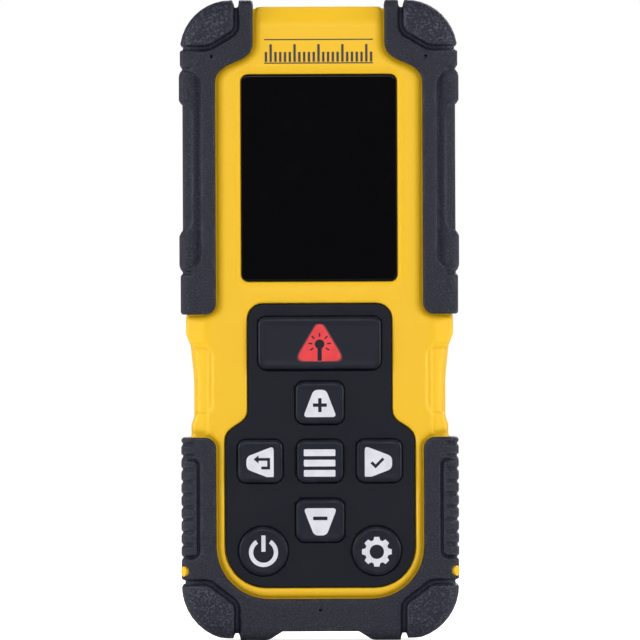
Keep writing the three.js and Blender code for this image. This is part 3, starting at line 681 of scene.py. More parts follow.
gripShape = {
    "innerTop": 13.75, "inner": 21.65, "rearInner": 23.4, "corner": 2.3,
    "turnLow": 116.6, "turnHigh": 125.2,
}
bumperShape = {"inner": 21.7, "innerBottom": 8.7, "corner": 2.3, "innerRadius": 11}
padShape = {
    "neckHalf": 15.1, "bodyHalf": padHigh.x, "topCorner": 3.2, "bottomCorner": 8.6,
    "shoulderLow": 41.7, "shoulderHigh": 48.3,
}


def caseOutline():
    side, corner = caseShape["sideHalf"], caseShape["corner"]
    waist, shoulder = caseShape["waistHalf"], caseShape["shoulderHalf"]
    top = housingHigh.z - 0.4
    return mirrored(
        [(0, housingLow.z)]
        + arc(side - corner, housingLow.z + corner, corner, -90, 0)
        + [(side, 42.2), (26.9, 43), (26.9, 45.2), (waist, 46.8), (waist, 54.3), (26.5, 56.9)]
        + [(27.05, 61.9), (27.35, 62.5), (shoulder, 64.2), (shoulder, 68), (side, 68.4)]
        + arc(side - corner, top - corner, corner, 0, 90)
        + [(13.2, top), (12.8, housingHigh.z), (0, housingHigh.z)]
    )


def rubberOutline():
    # notches, bulges and the shallow finger recess show along the sides
    wide, plain, hollow = gripHigh.x - 0.08, bumperHigh.x + 0.03, 28.76
    topCorner, bottomCorner = 10.75, 11.5
    return mirrored(
        [(0, 0)]
        + arc(plain - bottomCorner, bottomCorner, bottomCorner, -90, 0)
        + [(plain, 77.7), (wide, 78.5), (wide, 84.6), (hollow, 85.6), (hollow, 112.1)]
        + [(wide, 113.0), (wide, 118.0), (plain, 118.9)]
        + arc(plain - topCorner, gripHigh.z - topCorner, topCorner, 0, 90)
        + [(0, gripHigh.z)]
    )


def sideBox(clay, look):
    # a rounded box that runs on past the side
    return fence(clay, roundedBox(look["inner"], 40, look["low"], look["high"], look["corner"]))


def bothSides(field):
    return np.minimum(field, field[::-1])


def upperGripOutline(inner):
    beyond = gripHigh.x + 6
    corner = gripShape["corner"]
    return (
        [(beyond, gripLow.z), (beyond, gripHigh.z + 6), (gripShape["innerTop"], gripHigh.z + 6)]
        + sBend((gripShape["innerTop"], gripShape["turnHigh"]), (inner, gripShape["turnLow"]), 0.62)
        + arc(inner + corner, gripLow.z + corner, corner, 180, 270)
    )


def bumperOutline():
    beyond, inner, corner = bumperHigh.x + 6, bumperShape["inner"], bumperShape["corner"]
    turn = bumperShape["innerRadius"]
    return mirrored(
        [(0, -6), (beyond, -6), (beyond, bumperHigh.z)]
        + arc(inner + corner, bumperHigh.z - corner, corner, 90, 180)
        + arc(inner - turn, bumperShape["innerBottom"] + turn, turn, 0, -90)
        + [(0, bumperShape["innerBottom"])]
    )


def padOutline():
    body, neck = padShape["bodyHalf"], padShape["neckHalf"]
    low, high = padShape["bottomCorner"], padShape["topCorner"]
    return mirrored(
        [(0, padLow.z)]
        + arc(body - low, padLow.z + low, low, -90, 0)
        + sBend((body, padShape["shoulderLow"]), (neck, padShape["shoulderHigh"]))
        + arc(neck - high, padHigh.z - high, high, 0, 90)
        + [(0, padHigh.z)]
    )


def caseBody(clay, gripInner):
    # the bare shell: full depth where it shows, lower under the rubber
    x, y, z = clay["x"], clay["y"], clay["z"]
    edge = fence(clay, caseOutline())
    halfDepth = -faceY
    side, top = caseShape["sideChamfer"], caseShape["topChamfer"]

    def body(half):
        lift = np.abs(y) - half
        run = softMax(edge, lift, 0.9)
        slant = side["deep"] * (np.abs(x) - side["from"]) + side["wide"] * lift
        run = softMax(run, slant / math.hypot(side["deep"], side["wide"]), 0.6)
        roof = top["deep"] * (z - housingHigh.z + top["tall"]) + top["tall"] * lift
        return softMax(run, roof / math.hypot(top["deep"], top["tall"]), 0.5)

    grip = fence(clay, upperGripOutline(gripInner))
    other = grip[::-1] if symmetric(clay) else fence(clay, flipped(upperGripOutline(gripInner)))
    rubberEdge = np.minimum(np.minimum(grip, other), fence(clay, bumperOutline()))
    bare = softMax(body(halfDepth), 0.06 - rubberEdge, caseShape["rimBlend"])
    return np.minimum(body(halfDepth - caseShape["coveredDrop"]), bare)


def symmetric(clay):
    x = clay["x"].ravel()
    return abs(x[0] + x[-1]) < 1e-4


def carve(field, tool, blend=0.3):
    return softMax(field, -tool, blend)


def beamWell(clay):
    # the seat of the optics bezel in the top end, and the way through below it
    half, deep = bezelHigh.x + 0.12, bezelHigh.y + 0.12
    look = caseShape["throat"]
    seat = fence(clay, centredBox(half, -deep, deep, 2.5), across=True)
    throat = fence(clay, centredBox(look["half"], -look["deep"], look["deep"], look["corner"]), across=True)
    seat = np.maximum(seat, bezelLow.z - 0.2 - clay["z"])
    return np.minimum(seat, np.maximum(throat, look["low"] - clay["z"]))


def waistRelief(clay):
    # the thumb scoops beside the keypad's neck, a little below the shoulders
    hollow, scoop = sideBox(clay, caseShape["hollow"]), sideBox(clay, caseShape["scoop"])
    if symmetric(clay):
        hollow, scoop = bothSides(hollow), bothSides(scoop)
    relief = 0.2 * ramp(-hollow, -0.15, 0.3) + 0.5 * ramp(-scoop, -0.1, 0.7)
    return relief * ramp(np.abs(clay["y"]), 8, 11)  # the sides stay full


def screenEdge(clay):
    return fence(clay, centredBox(windowHigh.x, windowLow.z, windowHigh.z, displayLook["corner"]))


def caseCavity(clay):
    room = caseShape["cavity"]
    edge = fence(clay, centredBox(room["half"], room["bottom"], room["top"], room["corner"]))
    return np.maximum(edge, np.abs(clay["y"]) - room["depth"])


def frontClay():
    step = caseShape["step"]
    wide = math.ceil((housingHigh.x + 0.8) / step) * step
    clay = clayBlock((-wide, housingLow.y - 0.8, 1.4), (wide, 1.2, housingHigh.z + 0.8), step)
    y = clay["y"]
    skin = caseBody(clay, gripShape["inner"]) + waistRelief(clay)
    screen, dip = screenEdge(clay), caseShape["screenDip"]
    fall = np.clip(1 - screen / dip["wide"], 0, 1.2)
    skin = skin + dip["deep"] * fall * fall * (y < -8)
    pad = fence(clay, padOutline())
    skin = carve(skin, np.maximum(pad - 0.12, y - padHigh.y - 0.1), 0.75)
    skin = carve(skin, np.maximum(screen - 0.05, y - windowHigh.y - 0.1), 0.12)
    skin = carve(skin, np.maximum(pad + 1.2, y + 2), 0.2)
    skin = carve(skin, np.maximum(screen + 1.9, y + 2), 0.2)
    skin = carve(skin, caseCavity(clay), 0.6)
    look = caseShape["post"]
    for spot in screwSpots():
        post = meet(rod(clay, *spot, look["radius"]), y - look["to"], look["from"] - y)
        skin = softMin(skin, post, 0.5)
    for spot in screwSpots():
        skin = carve(skin, np.maximum(rod(clay, *spot, look["bore"]), look["boreFrom"] - y), 0.1)
    skin = carve(skin, beamWell(clay), 0.2)
    return clay, softMax(skin, y - seamY, seamBevel)


def middleOf(node):
    low, high = boxOf(node)
    return (low + high) / 2


def screwSpots():
    return [(middleOf(node).x, middleOf(node).z) for node in screwNodes]


rearShape = {
    "bay": {
        "half": 11.3, "bottom": 27.6, "top": 76.4, "corner": 0.6,
        "floor": 0.8, "rim": 11.9, "wall": 1.15,
    },
    "flange": {"beside": 1.6, "below": 1.5, "above": 2.4, "from": 10.7, "to": 12.4},
    "doorGap": {"edge": 0.14, "above": 1.1},
    "cells": {"x": 5.6, "y": 7.25, "radius": 5.45, "cradle": 5.2},
    "post": {"radius": 2.9, "from": 0.9, "to": 13.4, "bore": 1.45, "headWell": 2.5, "wellFloor": 11.5},
    "boss": {"radius": 5.4, "behind": 1.2},
    "labelRecess": {"edge": 0.2, "deep": 0.6},
    "ears": {"x": 11.5, "half": 2.1, "radius": 1.5, "deep": 1.55, "tall": 1.2, "y": 13.05, "z": 80.2},
    "pinBore": {"radius": 0.85, "half": 12.6},
}


def rearClay():
    step = caseShape["step"]
    wide = math.ceil((rearHigh.x + 0.8) / step) * step
    clay = clayBlock((-wide, -0.2, 1.4), (wide, rearHigh.y + 0.8, rearHigh.z + 0.8), step)
    x, y, z = clay["x"], clay["y"], clay["z"]
    bay, cells = rearShape["bay"], rearShape["cells"]
    skin = caseBody(clay, gripShape["rearInner"]) + waistRelief(clay)
    skin = carve(skin, caseCavity(clay), 0.6)
    wall, look = bay["wall"], rearShape["flange"]
    tub = fence(clay, centredBox(bay["half"] + wall, bay["bottom"] - wall, bay["top"] + wall, 1))
    skin = softMin(skin, meet(tub, bay["floor"] - y, y - bay["rim"]), 0.4)
    flange = centredBox(doorHigh.x + look["beside"], doorLow.z - look["below"], pinHigh.z + look["above"], 1)
    flange = meet(fence(clay, flange), look["from"] - y, y - look["to"])
    skin = softMin(skin, flange, 0.3)
    gap, top = rearShape["doorGap"]["edge"], pinHigh.z + rearShape["doorGap"]["above"]
    doorway = fence(clay, centredBox(doorHigh.x + gap, doorLow.z - gap, top, 0.7))
    skin = carve(skin, np.maximum(doorway, bay["rim"] - y), 0.25)
    hole = fence(clay, centredBox(bay["half"], bay["bottom"], bay["top"], bay["corner"]))
    troughs = np.hypot(np.abs(x) - cells["x"], y - cells["y"]) - cells["radius"]
    space = np.minimum(np.maximum(hole, cells["cradle"] - y), np.maximum(troughs, hole))
    skin = carve(skin, space, 0.25)
    look = rearShape["post"]
    for spot in screwSpots():
        post = meet(rod(clay, *spot, look["radius"]), look["from"] - y, y - look["to"])
        skin = softMin(skin, post, 0.3)
        skin = carve(skin, rod(clay, *spot, look["bore"]), 0.1)
        skin = carve(skin, np.maximum(rod(clay, *spot, look["headWell"]), look["wellFloor"] - y), 0.45)
    bushZ, look = middleOf("tripod_bush").z, rearShape["boss"]
    boss = np.maximum(rod(clay, 0, bushZ, look["radius"]), y - rearHigh.y)
    skin = softMin(skin, np.maximum(boss, bushLow.y - look["behind"] - y), 0.9)
    skin = carve(skin, np.maximum(rod(clay, 0, bushZ, bushHigh.x + 0.08), bushLow.y - 0.1 - y), 0.2)
    look = rearShape["labelRecess"]
    edge = look["edge"]
    film = fence(clay, centredBox(labelHigh.x + edge, labelLow.z - edge, labelHigh.z + edge, 1.2))
    skin = carve(skin, np.maximum(film, -faceY - look["deep"] - y), 0.25)
    look = rearShape["ears"]
    fromPin = np.hypot(y - middleOf("battery_door_pin").y, z - middleOf("battery_door_pin").z)
    root = np.maximum(np.abs(y - look["y"]) - look["deep"], np.abs(z - look["z"]) - look["tall"])
    for side in (-1, 1):
        across = np.abs(x - side * look["x"]) - look["half"]
        skin = softMin(skin, np.maximum(np.minimum(fromPin - look["radius"], root), across), 0.2)
    look = rearShape["pinBore"]
    skin = carve(skin, np.maximum(fromPin - look["radius"], np.abs(x) - look["half"]), 0.1)
    skin = carve(skin, beamWell(clay), 0.2)
    return clay, softMax(skin, seamY - y, seamBevel)


def makeCase():
    castPiece("frontShell", *frontClay(), "yellow_plastic", ["front_housing"])
    castPiece("rearShell", *rearClay(), "yellow_plastic", ["rear_housing"])
    print("the yellow case halves are cast")


# Rubber: the raised corner pads, side panels, ribs and grooves are heights over one rounded skin.

upperLook = {
    "flange": -0.7,  # the plain strip beside the yellow face
    "step": 0.2,
    "rimBlend": 0.7,
    "groove": [(17.25, 142), (17.25, 128.2), (17.9, 127.0), (22.3, 124.35), (23.6, 123.95), (36, 123.95)],
    "grooveHalf": 0.52,
    "panel": {"inner": 24.7, "low": 77.5, "high": 119.4, "corner": 3.5},
    "finger": {"inner": 26.55, "low": 85.6, "high": 112.4, "corner": 2.6},
    "band": {"inner": 24.2, "low": 119.2, "high": 123.5, "corner": 0.4},
    "tail": {"inner": 24.6, "low": 60, "high": 77.0, "corner": 0.8},
    "notches": (119.55, 76.95),
    "pinHole": (22.45, 122.15),
    "bandRise": 0.12, "tailDrop": 0.1, "panelDrop": 1.5, "fingerDrop": 0.38,
    "grooveDrop": 1.55, "grooveRunOut": 0.95, "notchDrop": 0.48,
}
lowerLook = {
    "step": 0.22,
    "rimBlend": 0.7,
    "groove": [(17.5, -6), (17.5, 7.2), (18.3, 8.4), (23.0, 11.9), (24.0, 12.15), (36, 12.15)],
    "grooveHalf": 0.58,
    "ribPitch": 2.64,
    "ribFrom": 17.4,
    "ribCount": 10,
    "ribHalf": 0.52,
    "panel": {"inner": 25.75, "low": 17.7, "high": 37.6, "corner": 0.9},
    "moat": {"inner": 25.25, "low": 17.2, "high": 38.1, "corner": 1.3},
    "hairline": {"x": 26.55, "z": 37.0, "turn": 1.8, "half": 0.12},
    "feet": {"from": 10.9, "recess": 1.87, "recessHalf": 8.0},
    "toe": {"low": 16.9, "high": 17.2, "rise": 0.45},
    "studHole": {"radius": 1.27, "from": 1.0, "to": 6.0},
    "drainHole": (0, 6.3),
    "flange": -0.7, "moatDrop": 0.62, "panelRise": 0.72, "hairlineDrop": 0.22, "ribDrop": 0.42,
    "grooveDrop": 1.5, "grooveRunOut": 0.75,
}
skinRound = 3.4


def rubberSkin(clay):
    return slabField(fence(clay, rubberOutline()), np.abs(clay["y"]), -gripLow.y, skinRound)


def dent(distance, width):
    # 1 inside a region, falling to 0 over its rim
    return ramp(-distance, -width / 2, width / 2)


def upperHeights(clay):
    x, look = np.abs(clay["x"]), upperLook
    # the flange fades out towards the side and the top
    toSide = np.maximum(ramp(x, 25.4, 28.8), ramp(clay["z"], 130.4, 133.6))
    groove = track(clay, look["groove"], look["grooveHalf"])
    pad = fence(clay, look["groove"] + [(36, 142)])
    panel, finger, band, tail = (sideBox(clay, look[part]) for part in ("panel", "finger", "band", "tail"))
    height = look["flange"] * (1 - toSide)
    height = height + (0.0 - height) * dent(pad, 0.5)
    height = height + look["bandRise"] * dent(band, 0.5) * (1 - toSide)
    height = height - look["tailDrop"] * dent(tail, 0.6) * (1 - toSide)
    slope = look["panelDrop"] * (ramp(x, 24.6, 28.9) - 1)
    height = height + (slope - height) * dent(panel, 0.34)
    height = height - look["fingerDrop"] * dent(finger, 0.45) * (1 - 0.5 * ramp(x, 27, 28.7))
    depth = look["grooveRunOut"] * ramp(x, 24.2, 28.0) - look["grooveDrop"]
    height = height + (depth - height) * dent(groove, 0.3)
    for z in look["notches"]:
        notch = track(clay, [(27.0, z), (36, z)], 0.42)
        height = height - look["notchDrop"] * dent(notch, 0.8)
    return height, pad


def upperClay(front):
    step = upperLook["step"]
    low, high = (gripLow.y - 0.8, 1.2) if front else (-0.1, -gripLow.y + 0.8)
    clay = clayBlock((13.0, low, gripLow.z - 0.8), (gripHigh.x + 0.8, high, gripHigh.z + 0.8), step)
    y = clay["y"]
    inner = gripShape["inner"] if front else gripShape["rearInner"]
    height, pad = upperHeights(clay)
    skin = rubberSkin(clay) - height
    skin = softMax(skin, fence(clay, upperGripOutline(inner)), upperLook["rimBlend"])
    if front:
        hole = np.maximum(rod(clay, *upperLook["pinHole"], 0.3), y + 14.2)
        skin = carve(skin, hole, 0.1)
    skin = np.maximum(skin, 0.03 - caseBody(clay, inner))
    cut = y - seamY if front else seamY - y
    return clay, softMax(skin, cut, seamBevel), pad


def ribField(clay):
    # V grooves round the side, one rib pitch apart
    z = clay["z"]
    turn = (z - lowerLook["ribFrom"]) / lowerLook["ribPitch"]
    off = np.abs(turn - np.round(turn)) * lowerLook["ribPitch"]
    count = lowerLook["ribCount"] - 0.5
    live = (turn > -0.5) & (turn < count)
    return np.clip(1 - off / lowerLook["ribHalf"], 0, 1) * live


def lowerHeights(clay):
    x, look = np.abs(clay["x"]), lowerLook
    toSide = np.maximum(ramp(x, 25.8, 28.8), 1 - ramp(clay["z"], 0.2, 3.6))
    groove = bothSides(track(clay, look["groove"], look["grooveHalf"]))
    pad = bothSides(fence(clay, look["groove"] + [(36, -6)]))
    panel, moat = (bothSides(sideBox(clay, look[part])) for part in ("panel", "moat"))
    line = look["hairline"]
    path = arc(line["x"], line["z"], line["turn"], 144, 90) + [(36, line["z"] + line["turn"])]
    hairline = bothSides(track(clay, path, line["half"]))
    height = look["flange"] * (1 - toSide)
    height = height + (0.0 - height) * dent(pad, 0.5)
    runOut = 1 - 0.9 * ramp(x, 26.5, 28.4)
    height = height - look["moatDrop"] * dent(moat, 0.28) * runOut
    height = height + look["panelRise"] * dent(panel, 0.28) * runOut
    height = height - look["hairlineDrop"] * dent(hairline, 0.22)
    height = height - look["ribDrop"] * ribField(clay) * ramp(x, 26.1, 26.7)
    depth = look["grooveRunOut"] * ramp(x, 24.4, 28.0) - look["grooveDrop"]
    height = height + (depth - height) * dent(groove, 0.3)
    return height, pad


def lowerClay(front):
    step = lowerLook["step"]
    wide = math.ceil((bumperHigh.x + 1.0) / step) * step
    low, high = (bumperLow.y - 0.8, 1.2) if front else (-0.1, -bumperLow.y + 0.8)
    clay = clayBlock((-wide, low, -0.8), (wide, high, bumperHigh.z + 0.8), step)
    y = clay["y"]
    height, pad = lowerHeights(clay)
    skin = rubberSkin(clay) - height
    skin = softMax(skin, fence(clay, bumperOutline()), lowerLook["rimBlend"])
    feet = lowerLook["feet"]
    arch = [(-feet["from"], -3), (feet["from"], -3), (feet["from"], 0), (feet["recessHalf"], feet["recess"])]
    arch += [(-feet["recessHalf"], feet["recess"]), (-feet["from"], 0)]
    skin = carve(skin, fence(clay, arch), 0.5)
    toe = lowerLook["toe"]
    toe = [(toe["low"], -3), (30, -3), (30, toe["rise"]), (toe["high"], toe["rise"])]
    skin = carve(skin, bothSides(fence(clay, toe)), 0.4)
    if front:
        skin = carve(skin, np.maximum(rod(clay, *lowerLook["drainHole"], 0.32), y + 14.4), 0.1)
        for side in (-1, 1):
            skin = carve(skin, studRod(clay, side, *lowerLook["studHole"].values()), 0.1)
    skin = np.maximum(skin, 0.03 - caseBody(clay, gripShape["inner"]))
    cut = y - seamY if front else seamY - y
    return clay, softMax(skin, cut, seamBevel), pad


studLook = {"tilt": 26, "radius": 1.2, "from": 1.3, "to": 3.52, "room": (4.6, 4.6, 1.8), "step": 0.09}


def studFrame(side):
    # the stud's axis runs out through the rubber's rounded front corner
    tilt = math.radians(studLook["tilt"])
    out = Vector((side * math.cos(tilt), -math.sin(tilt), 0))
    level = middleOf("marker_stud_right").z
    return Vector((side * (bumperHigh.x - skinRound), bumperLow.y + skinRound, level)), out


def studRod(clay, side, radius, start, end):
    origin, out = studFrame(side)
    dx, dy, dz = clay["x"] - origin.x, clay["y"] - origin.y, clay["z"] - origin.z
    along = dx * out.x + dy * out.y
    aside = np.sqrt(np.maximum(dx * dx + dy * dy + dz * dz - along * along, 0))
    return meet(aside - radius, start - along, along - end)


def markPads(mesh, clay, pad):
    # where the leathery grain of the corner pads lies
    points = pointsOf(mesh)
    flat = np.broadcast_to(pad, (clay["x"].size, 2, clay["z"].size))
    level = {"low": clay["low"] * [1, 0, 1], "step": clay["step"]}
    mirror = 1 if symmetric(clay) else np.sign(points[:, :1])
    spots = points * [1, 0, 1]
    spots[:, :1] *= mirror
    inside = sample(flat, level, spots)
    setMask(mesh, "pad", np.clip(0.2 - inside / 0.6, 0, 1))


def makeGrips():
    for half, front in (("front", True), ("rear", False)):
        clay, field, pad = upperClay(front)
        cast = readClay(clay, field)
        for side in ("right", "left"):
            name = f"{side}Grip{half.capitalize()}"
            mesh = clayMesh(name, cast, flip=side == "left")
            markPads(mesh, clay, pad)
            addPiece(name, mesh, "grip_rubber", [f"upper_{side}_grip_{half}"])
        clay, field, pad = lowerClay(front)
        name = f"bumper{half.capitalize()}"
        mesh = clayMesh(name, readClay(clay, field))
        markPads(mesh, clay, pad)
        addPiece(name, mesh, "grip_rubber", [f"lower_bumper_{half}"])
    print("the rubber grips and bumper are cast")


def makeStuds():
    for side, word in ((-1, "left"), (1, "right")):
        origin = studFrame(side)[0]
        clay = clayAround(origin, origin, studLook["room"], studLook["step"])
        body = studRod(clay, side, studLook["radius"], studLook["from"], studLook["to"])
        body = softMax(body, studRod(clay, side, studLook["radius"], 0, studLook["to"]), 0.4)
        castPiece(f"markerStud{word.capitalize()}", clay, body, "yellow_plastic", [f"marker_stud_{word}"])


# Display, keypad plate and keys.

displayLook = {"corner": 1.4, "rim": 0.22, "step": 0.2}


def makeDisplay():
    clay = clayAround(windowLow, windowHigh, (0.6, 0.5, 0.6), displayLook["step"])
    edge = screenEdge(clay)
    body = plateField(clay, edge, windowLow, windowHigh, displayLook["rim"])
    castPiece("displayWindow", clay, body, "display_glass", ["display_window"])


keyLooks = {
    "roundKeys": ("power_key", "settings_key"),
    "plateGap": 0.04,
    "corner": 1.8,
    "wideCorner": 1.7,
    "flange": 0.6,  # the skirt behind the plate
    "rimRound": 0.95,
    "dish": 0.05,
    "step": 0.12,
}
keyNodes = sorted(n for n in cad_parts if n.endswith("_key"))


def keyFace(node):
    # the key's visible outline, from its box less the skirt
    low, high = boxOf(node)
    skirt = keyLooks["flange"]
    corner = keyLooks["wideCorner"] if node == "measure_key" else keyLooks["corner"]
    if node in keyLooks["roundKeys"]:
        corner = (high.x - low.x) / 2 - skirt - 0.01
    return roundedBox(low.x + skirt, high.x - skirt, low.z + skirt, high.z - skirt, corner), low, high


def makeKeypad():
    clay = clayAround(padLow, padHigh, 0.6, 0.16)
    edge = fence(clay, padOutline())
    plate = plateField(clay, edge, padLow, padHigh, 0.2)
    for node in keyNodes:
        plate = carve(plate, fence(clay, keyFace(node)[0]) - keyLooks["plateGap"], 0.08)
    castPiece("keypadPlate", clay, plate, "keypad_plastic", ["keypad_fascia"])
    for node in keyNodes:
        outline, low, high = keyFace(node)
        clay = clayAround(low, high, (0.4, 0.5, 0.4), keyLooks["step"])
        y = clay["y"]
        edge = fence(clay, outline)
        dish = keyLooks["dish"] * ramp(-edge, 0.7, 2.0)
        cap = softMax(edge, low.y + dish - y, keyLooks["rimRound"])
        cap = np.maximum(cap, y - high.y)
        skirt = meet(edge - keyLooks["flange"] + 0.1, high.y - 0.75 - y, y - high.y)
        body = softMin(cap, skirt, 0.2)
        castPiece(node.split("_")[0] + "Key", clay, body, "key_rubber", [node], node)
    print("the display, keypad plate and keys are in place")


makeCase()
makeGrips()
makeStuds()
makeDisplay()
makeKeypad()


# Turned pieces: a profile of (radius, height) pairs spun about an upright axis, with rounded shoulders.

def spin(profile, center, sides=64):
    ring = np.linspace(0, 2 * math.pi, sides, endpoint=False)
    radii, levels = np.array(profile, float).T
    turn, up = np.meshgrid(ring, levels)
    out = np.repeat(radii[:, None], sides, axis=1)
    points = np.stack([out * np.cos(turn), out * np.sin(turn), up], -1).reshape(-1, 3) + np.array(center)
    rows = len(profile)
    i, j = np.meshgrid(np.arange(rows - 1), np.arange(sides), indexing="ij")
    near, far = i * sides + j, i * sides + (j + 1) % sides
    quads = np.stack([near, far, far + sides, near + sides], -1).reshape(-1, 4)
    mesh = meshFrom("spun", points, [quads])
    shell = bmesh.new()
    shell.from_mesh(mesh)
    bmesh.ops.remove_doubles(shell, verts=shell.verts, dist=0.0005 * mm)
    bmesh.ops.recalc_face_normals(shell, faces=shell.faces)
    shell.to_mesh(mesh)
    shell.free()
    mesh.set_sharp_from_angle(angle=math.radians(38))
    return mesh


def roundedSteps(corners, radius, steps=5):
    # softens each corner between the first and the last
    soft = [corners[0]]
    for before, here, after in zip(corners, corners[1:], corners[2:]):
        before, here, after = np.array(before), np.array(here), np.array(after)
        reach = min(radius, np.linalg.norm(here - before) / 2.1, np.linalg.norm(after - here) / 2.1)
        start = here + (before - here) * reach / np.linalg.norm(before - here)
        end = here + (after - here) * reach / np.linalg.norm(after - here)
        for t in np.linspace(0, 1, steps):
            soft.append(tuple((1 - t) ** 2 * start + 2 * t * (1 - t) * here + t * t * end))
    return soft + [corners[-1]]


# Fittings on the case: top bezel and optics, screws, bush and label.

bezelLook = {
    "corner": 2.4, "edge": 0.5, "step": 0.13,
    "lensHole": 6.2, "lensFlare": 0.22,
    "laserHole": 1.9, "laserSeat": 2.62, "laserFlare": 0.1,
    "ring": {"radius": 7.6, "half": 0.22, "deep": 0.22},
}


def makeBezel():
    look = bezelLook
    clay = clayAround(bezelLow, bezelHigh, 0.5, look["step"])
    x, y, z = clay["x"], clay["y"], clay["z"]
    edge = fence(clay, centredBox(bezelHigh.x, -bezelHigh.y, bezelHigh.y, look["corner"]), across=True)
    plate = softMax(np.maximum(edge, bezelLow.z - z), z - bezelHigh.z, look["edge"])
    lensLow, lensHigh = boxOf("receiver_lens")
    laserLow, laserHigh = boxOf("laser_exit_window")
    lensX, laserX = middleOf("receiver_lens").x, middleOf("laser_exit_window").x
    height = z - bezelLow.z
    fromLens, fromLaser = np.hypot(x - lensX, y), np.hypot(x - laserX, y)
    plate = carve(plate, fromLens - look["lensHole"] - look["lensFlare"] * height, 0.4)
    plate = carve(plate, fromLaser - look["laserHole"], 0.1)
    seat = fromLaser - look["laserSeat"] - look["laserFlare"] * height
    plate = carve(plate, np.maximum(seat, laserLow.z - 0.25 - z), 0.2)
    ring = look["ring"]
    groove = np.abs(fromLens - ring["radius"]) - ring["half"]
    plate = carve(plate, np.maximum(groove, bezelHigh.z - ring["deep"] - z), 0.15)
    castPiece("opticsBezel", clay, plate, "black_plastic", ["optics_bezel"])
    radius, low = (lensHigh.x - lensLow.x) / 2, lensLow.z
    lens = [(0, low), (radius - 0.3, low), (radius, low + 0.3), (radius, low + 1.2)]
    crown = lensHigh.z - low - 1.3
    for turn in np.linspace(0, math.pi / 2, 14):
        lens.append((radius * math.cos(turn) * 0.99, low + 1.3 + crown * math.sin(turn)))
    addPiece("receiverLens", spin(lens, (lensX, 0, 0), 96), "lens_glass", ["receiver_lens"])
    wide, low, high = (laserHigh.x - laserLow.x) / 2, laserLow.z, laserHigh.z
    pane = roundedSteps([(0, low), (wide, low), (wide, high), (0, high)], 0.2)
    addPiece("laserWindow", spin(pane, (laserX, 0, 0)), "lens_glass", ["laser_exit_window"])


screwLook = {
    "head": 2.2, "headAt": 12.6, "headHalf": 0.8, "knurls": 15, "knurl": 0.05,
    "socket": 1.05, "socketFloor": 12.4,
    "shank": 1.02, "thread": 0.44, "pitch": 0.9, "threadTo": 10, "tip": -8,
}


def offTurn(turn):
    # how far a thread's turn is from its crest, 0 to 0.5
    return np.abs(turn - np.round(turn))


def makeScrews():
    # hex-socket heads with a knurled rim and a coarse thread, one shape used four times
    look = screwLook
    clay = clayBlock((-2.7, look["tip"] - 0.5, -2.7), (2.7, 13.9, 2.7), 0.1)
    x, y, z = clay["x"], clay["y"], clay["z"]
    radius, angle = np.hypot(x, z), np.arctan2(z, x)
    knurled = radius - look["head"] + look["knurl"] * np.abs(np.sin(angle * look["knurls"]))
    head = slabField(knurled, np.abs(y - look["headAt"]), look["headHalf"], 0.3)
    turn = y / look["pitch"] + angle / (2 * math.pi)
    shank = radius - look["shank"] + look["thread"] * offTurn(turn) * (y < look["threadTo"])
    body = softMin(head, meet(shank, y - 12.2, look["tip"] - y), 0.1)
    flats = [np.abs(x * math.cos(t) + z * math.sin(t)) for t in (0, math.pi / 3, 2 * math.pi / 3)]
    socket = np.maximum.reduce(flats) - look["socket"]
    body = carve(body, np.maximum(socket, look["socketFloor"] - y), 0.1)
    cast = readClay(clay, body)
    for node, (atX, atZ) in zip(screwNodes, screwSpots()):
        placed = dict(cast, spots=cast["spots"] + np.array([atX, 0, atZ]))
        name = "caseScrew" + "".join(part.capitalize() for part in node.split("_")[2:])
        addPiece(name, clayMesh(name, placed), "steel", [node])


bushLook = {"bore": 3.1, "pitch": 1.27, "thread": 0.42, "floor": 1.0, "lead": 0.5}


def makeBush():
    # quarter-inch tripod thread cut down the bore, with a chamfered mouth
    look = bushLook
    clay = clayAround(bushLow, bushHigh, 0.5, 0.1)
    x, y, z = clay["x"], clay["y"], clay["z"] - middleOf("tripod_bush").z
    radius, angle = np.hypot(x, z), np.arctan2(z, x)
    body = plateField(clay, radius - bushHigh.x, bushLow, bushHigh, 0.25)
    turn = y / look["pitch"] + angle / (2 * math.pi)
    bore = radius - look["bore"] - look["thread"] * (1 - 2 * offTurn(turn))
    mouth = radius - look["bore"] - look["lead"] - (y - bushHigh.y)
    body = carve(body, np.maximum(np.minimum(bore, mouth), bushLow.y + look["floor"] - y), 0.08)
    castPiece("tripodBush", clay, body, "brass", ["tripod_bush"])


labelLook = {
    "frame": 14.0, "frameLine": 0.25, "margin": 1, "line": 0.3,
    "lines": ((6.0, 92.5), (6.0, 95.5), (12.2, 99.0), (12.2, 102.0)),  # right end and height
    "linesFrom": -12.2, "box": {"left": 8.6, "right": 12.4, "low": 2.6, "high": 6.4},
}


def makeLabel():
    look = labelLook
    clay = clayAround(labelLow, labelHigh, 0.4, 0.1)
    edge = fence(clay, centredBox(labelHigh.x, labelLow.z, labelHigh.z, 1))
    body = plateField(clay, edge, labelLow, labelHigh, 0.08)
    castPiece("labelPlate", clay, body, "label_film", ["label_plate"])
    low, high = labelLow.z + look["margin"], labelHigh.z - look["margin"]
    thin, box, line = look["frameLine"], look["box"], look["line"]
    marks = [centredBox(look["frame"], low, high, 0.6)]
    marks.append(centredBox(look["frame"] - thin, low + thin, high - thin, 0.45))
    for inset, corner in ((0, 0.3), (line, 0.2)):
        marks.append(roundedBox(box["left"] + inset, box["right"] - inset, labelLow.z + box["low"] + inset,
                                labelLow.z + box["high"] - inset, corner))
    marks += [roundedBox(look["linesFrom"], right, z, z + line, 0.05) for right, z in look["lines"]]
    inkPiece("labelPrint", marks, labelHigh.y, blackInk, "case", "label_film", behind=True)


# The battery door with its latch, and what lies behind it.

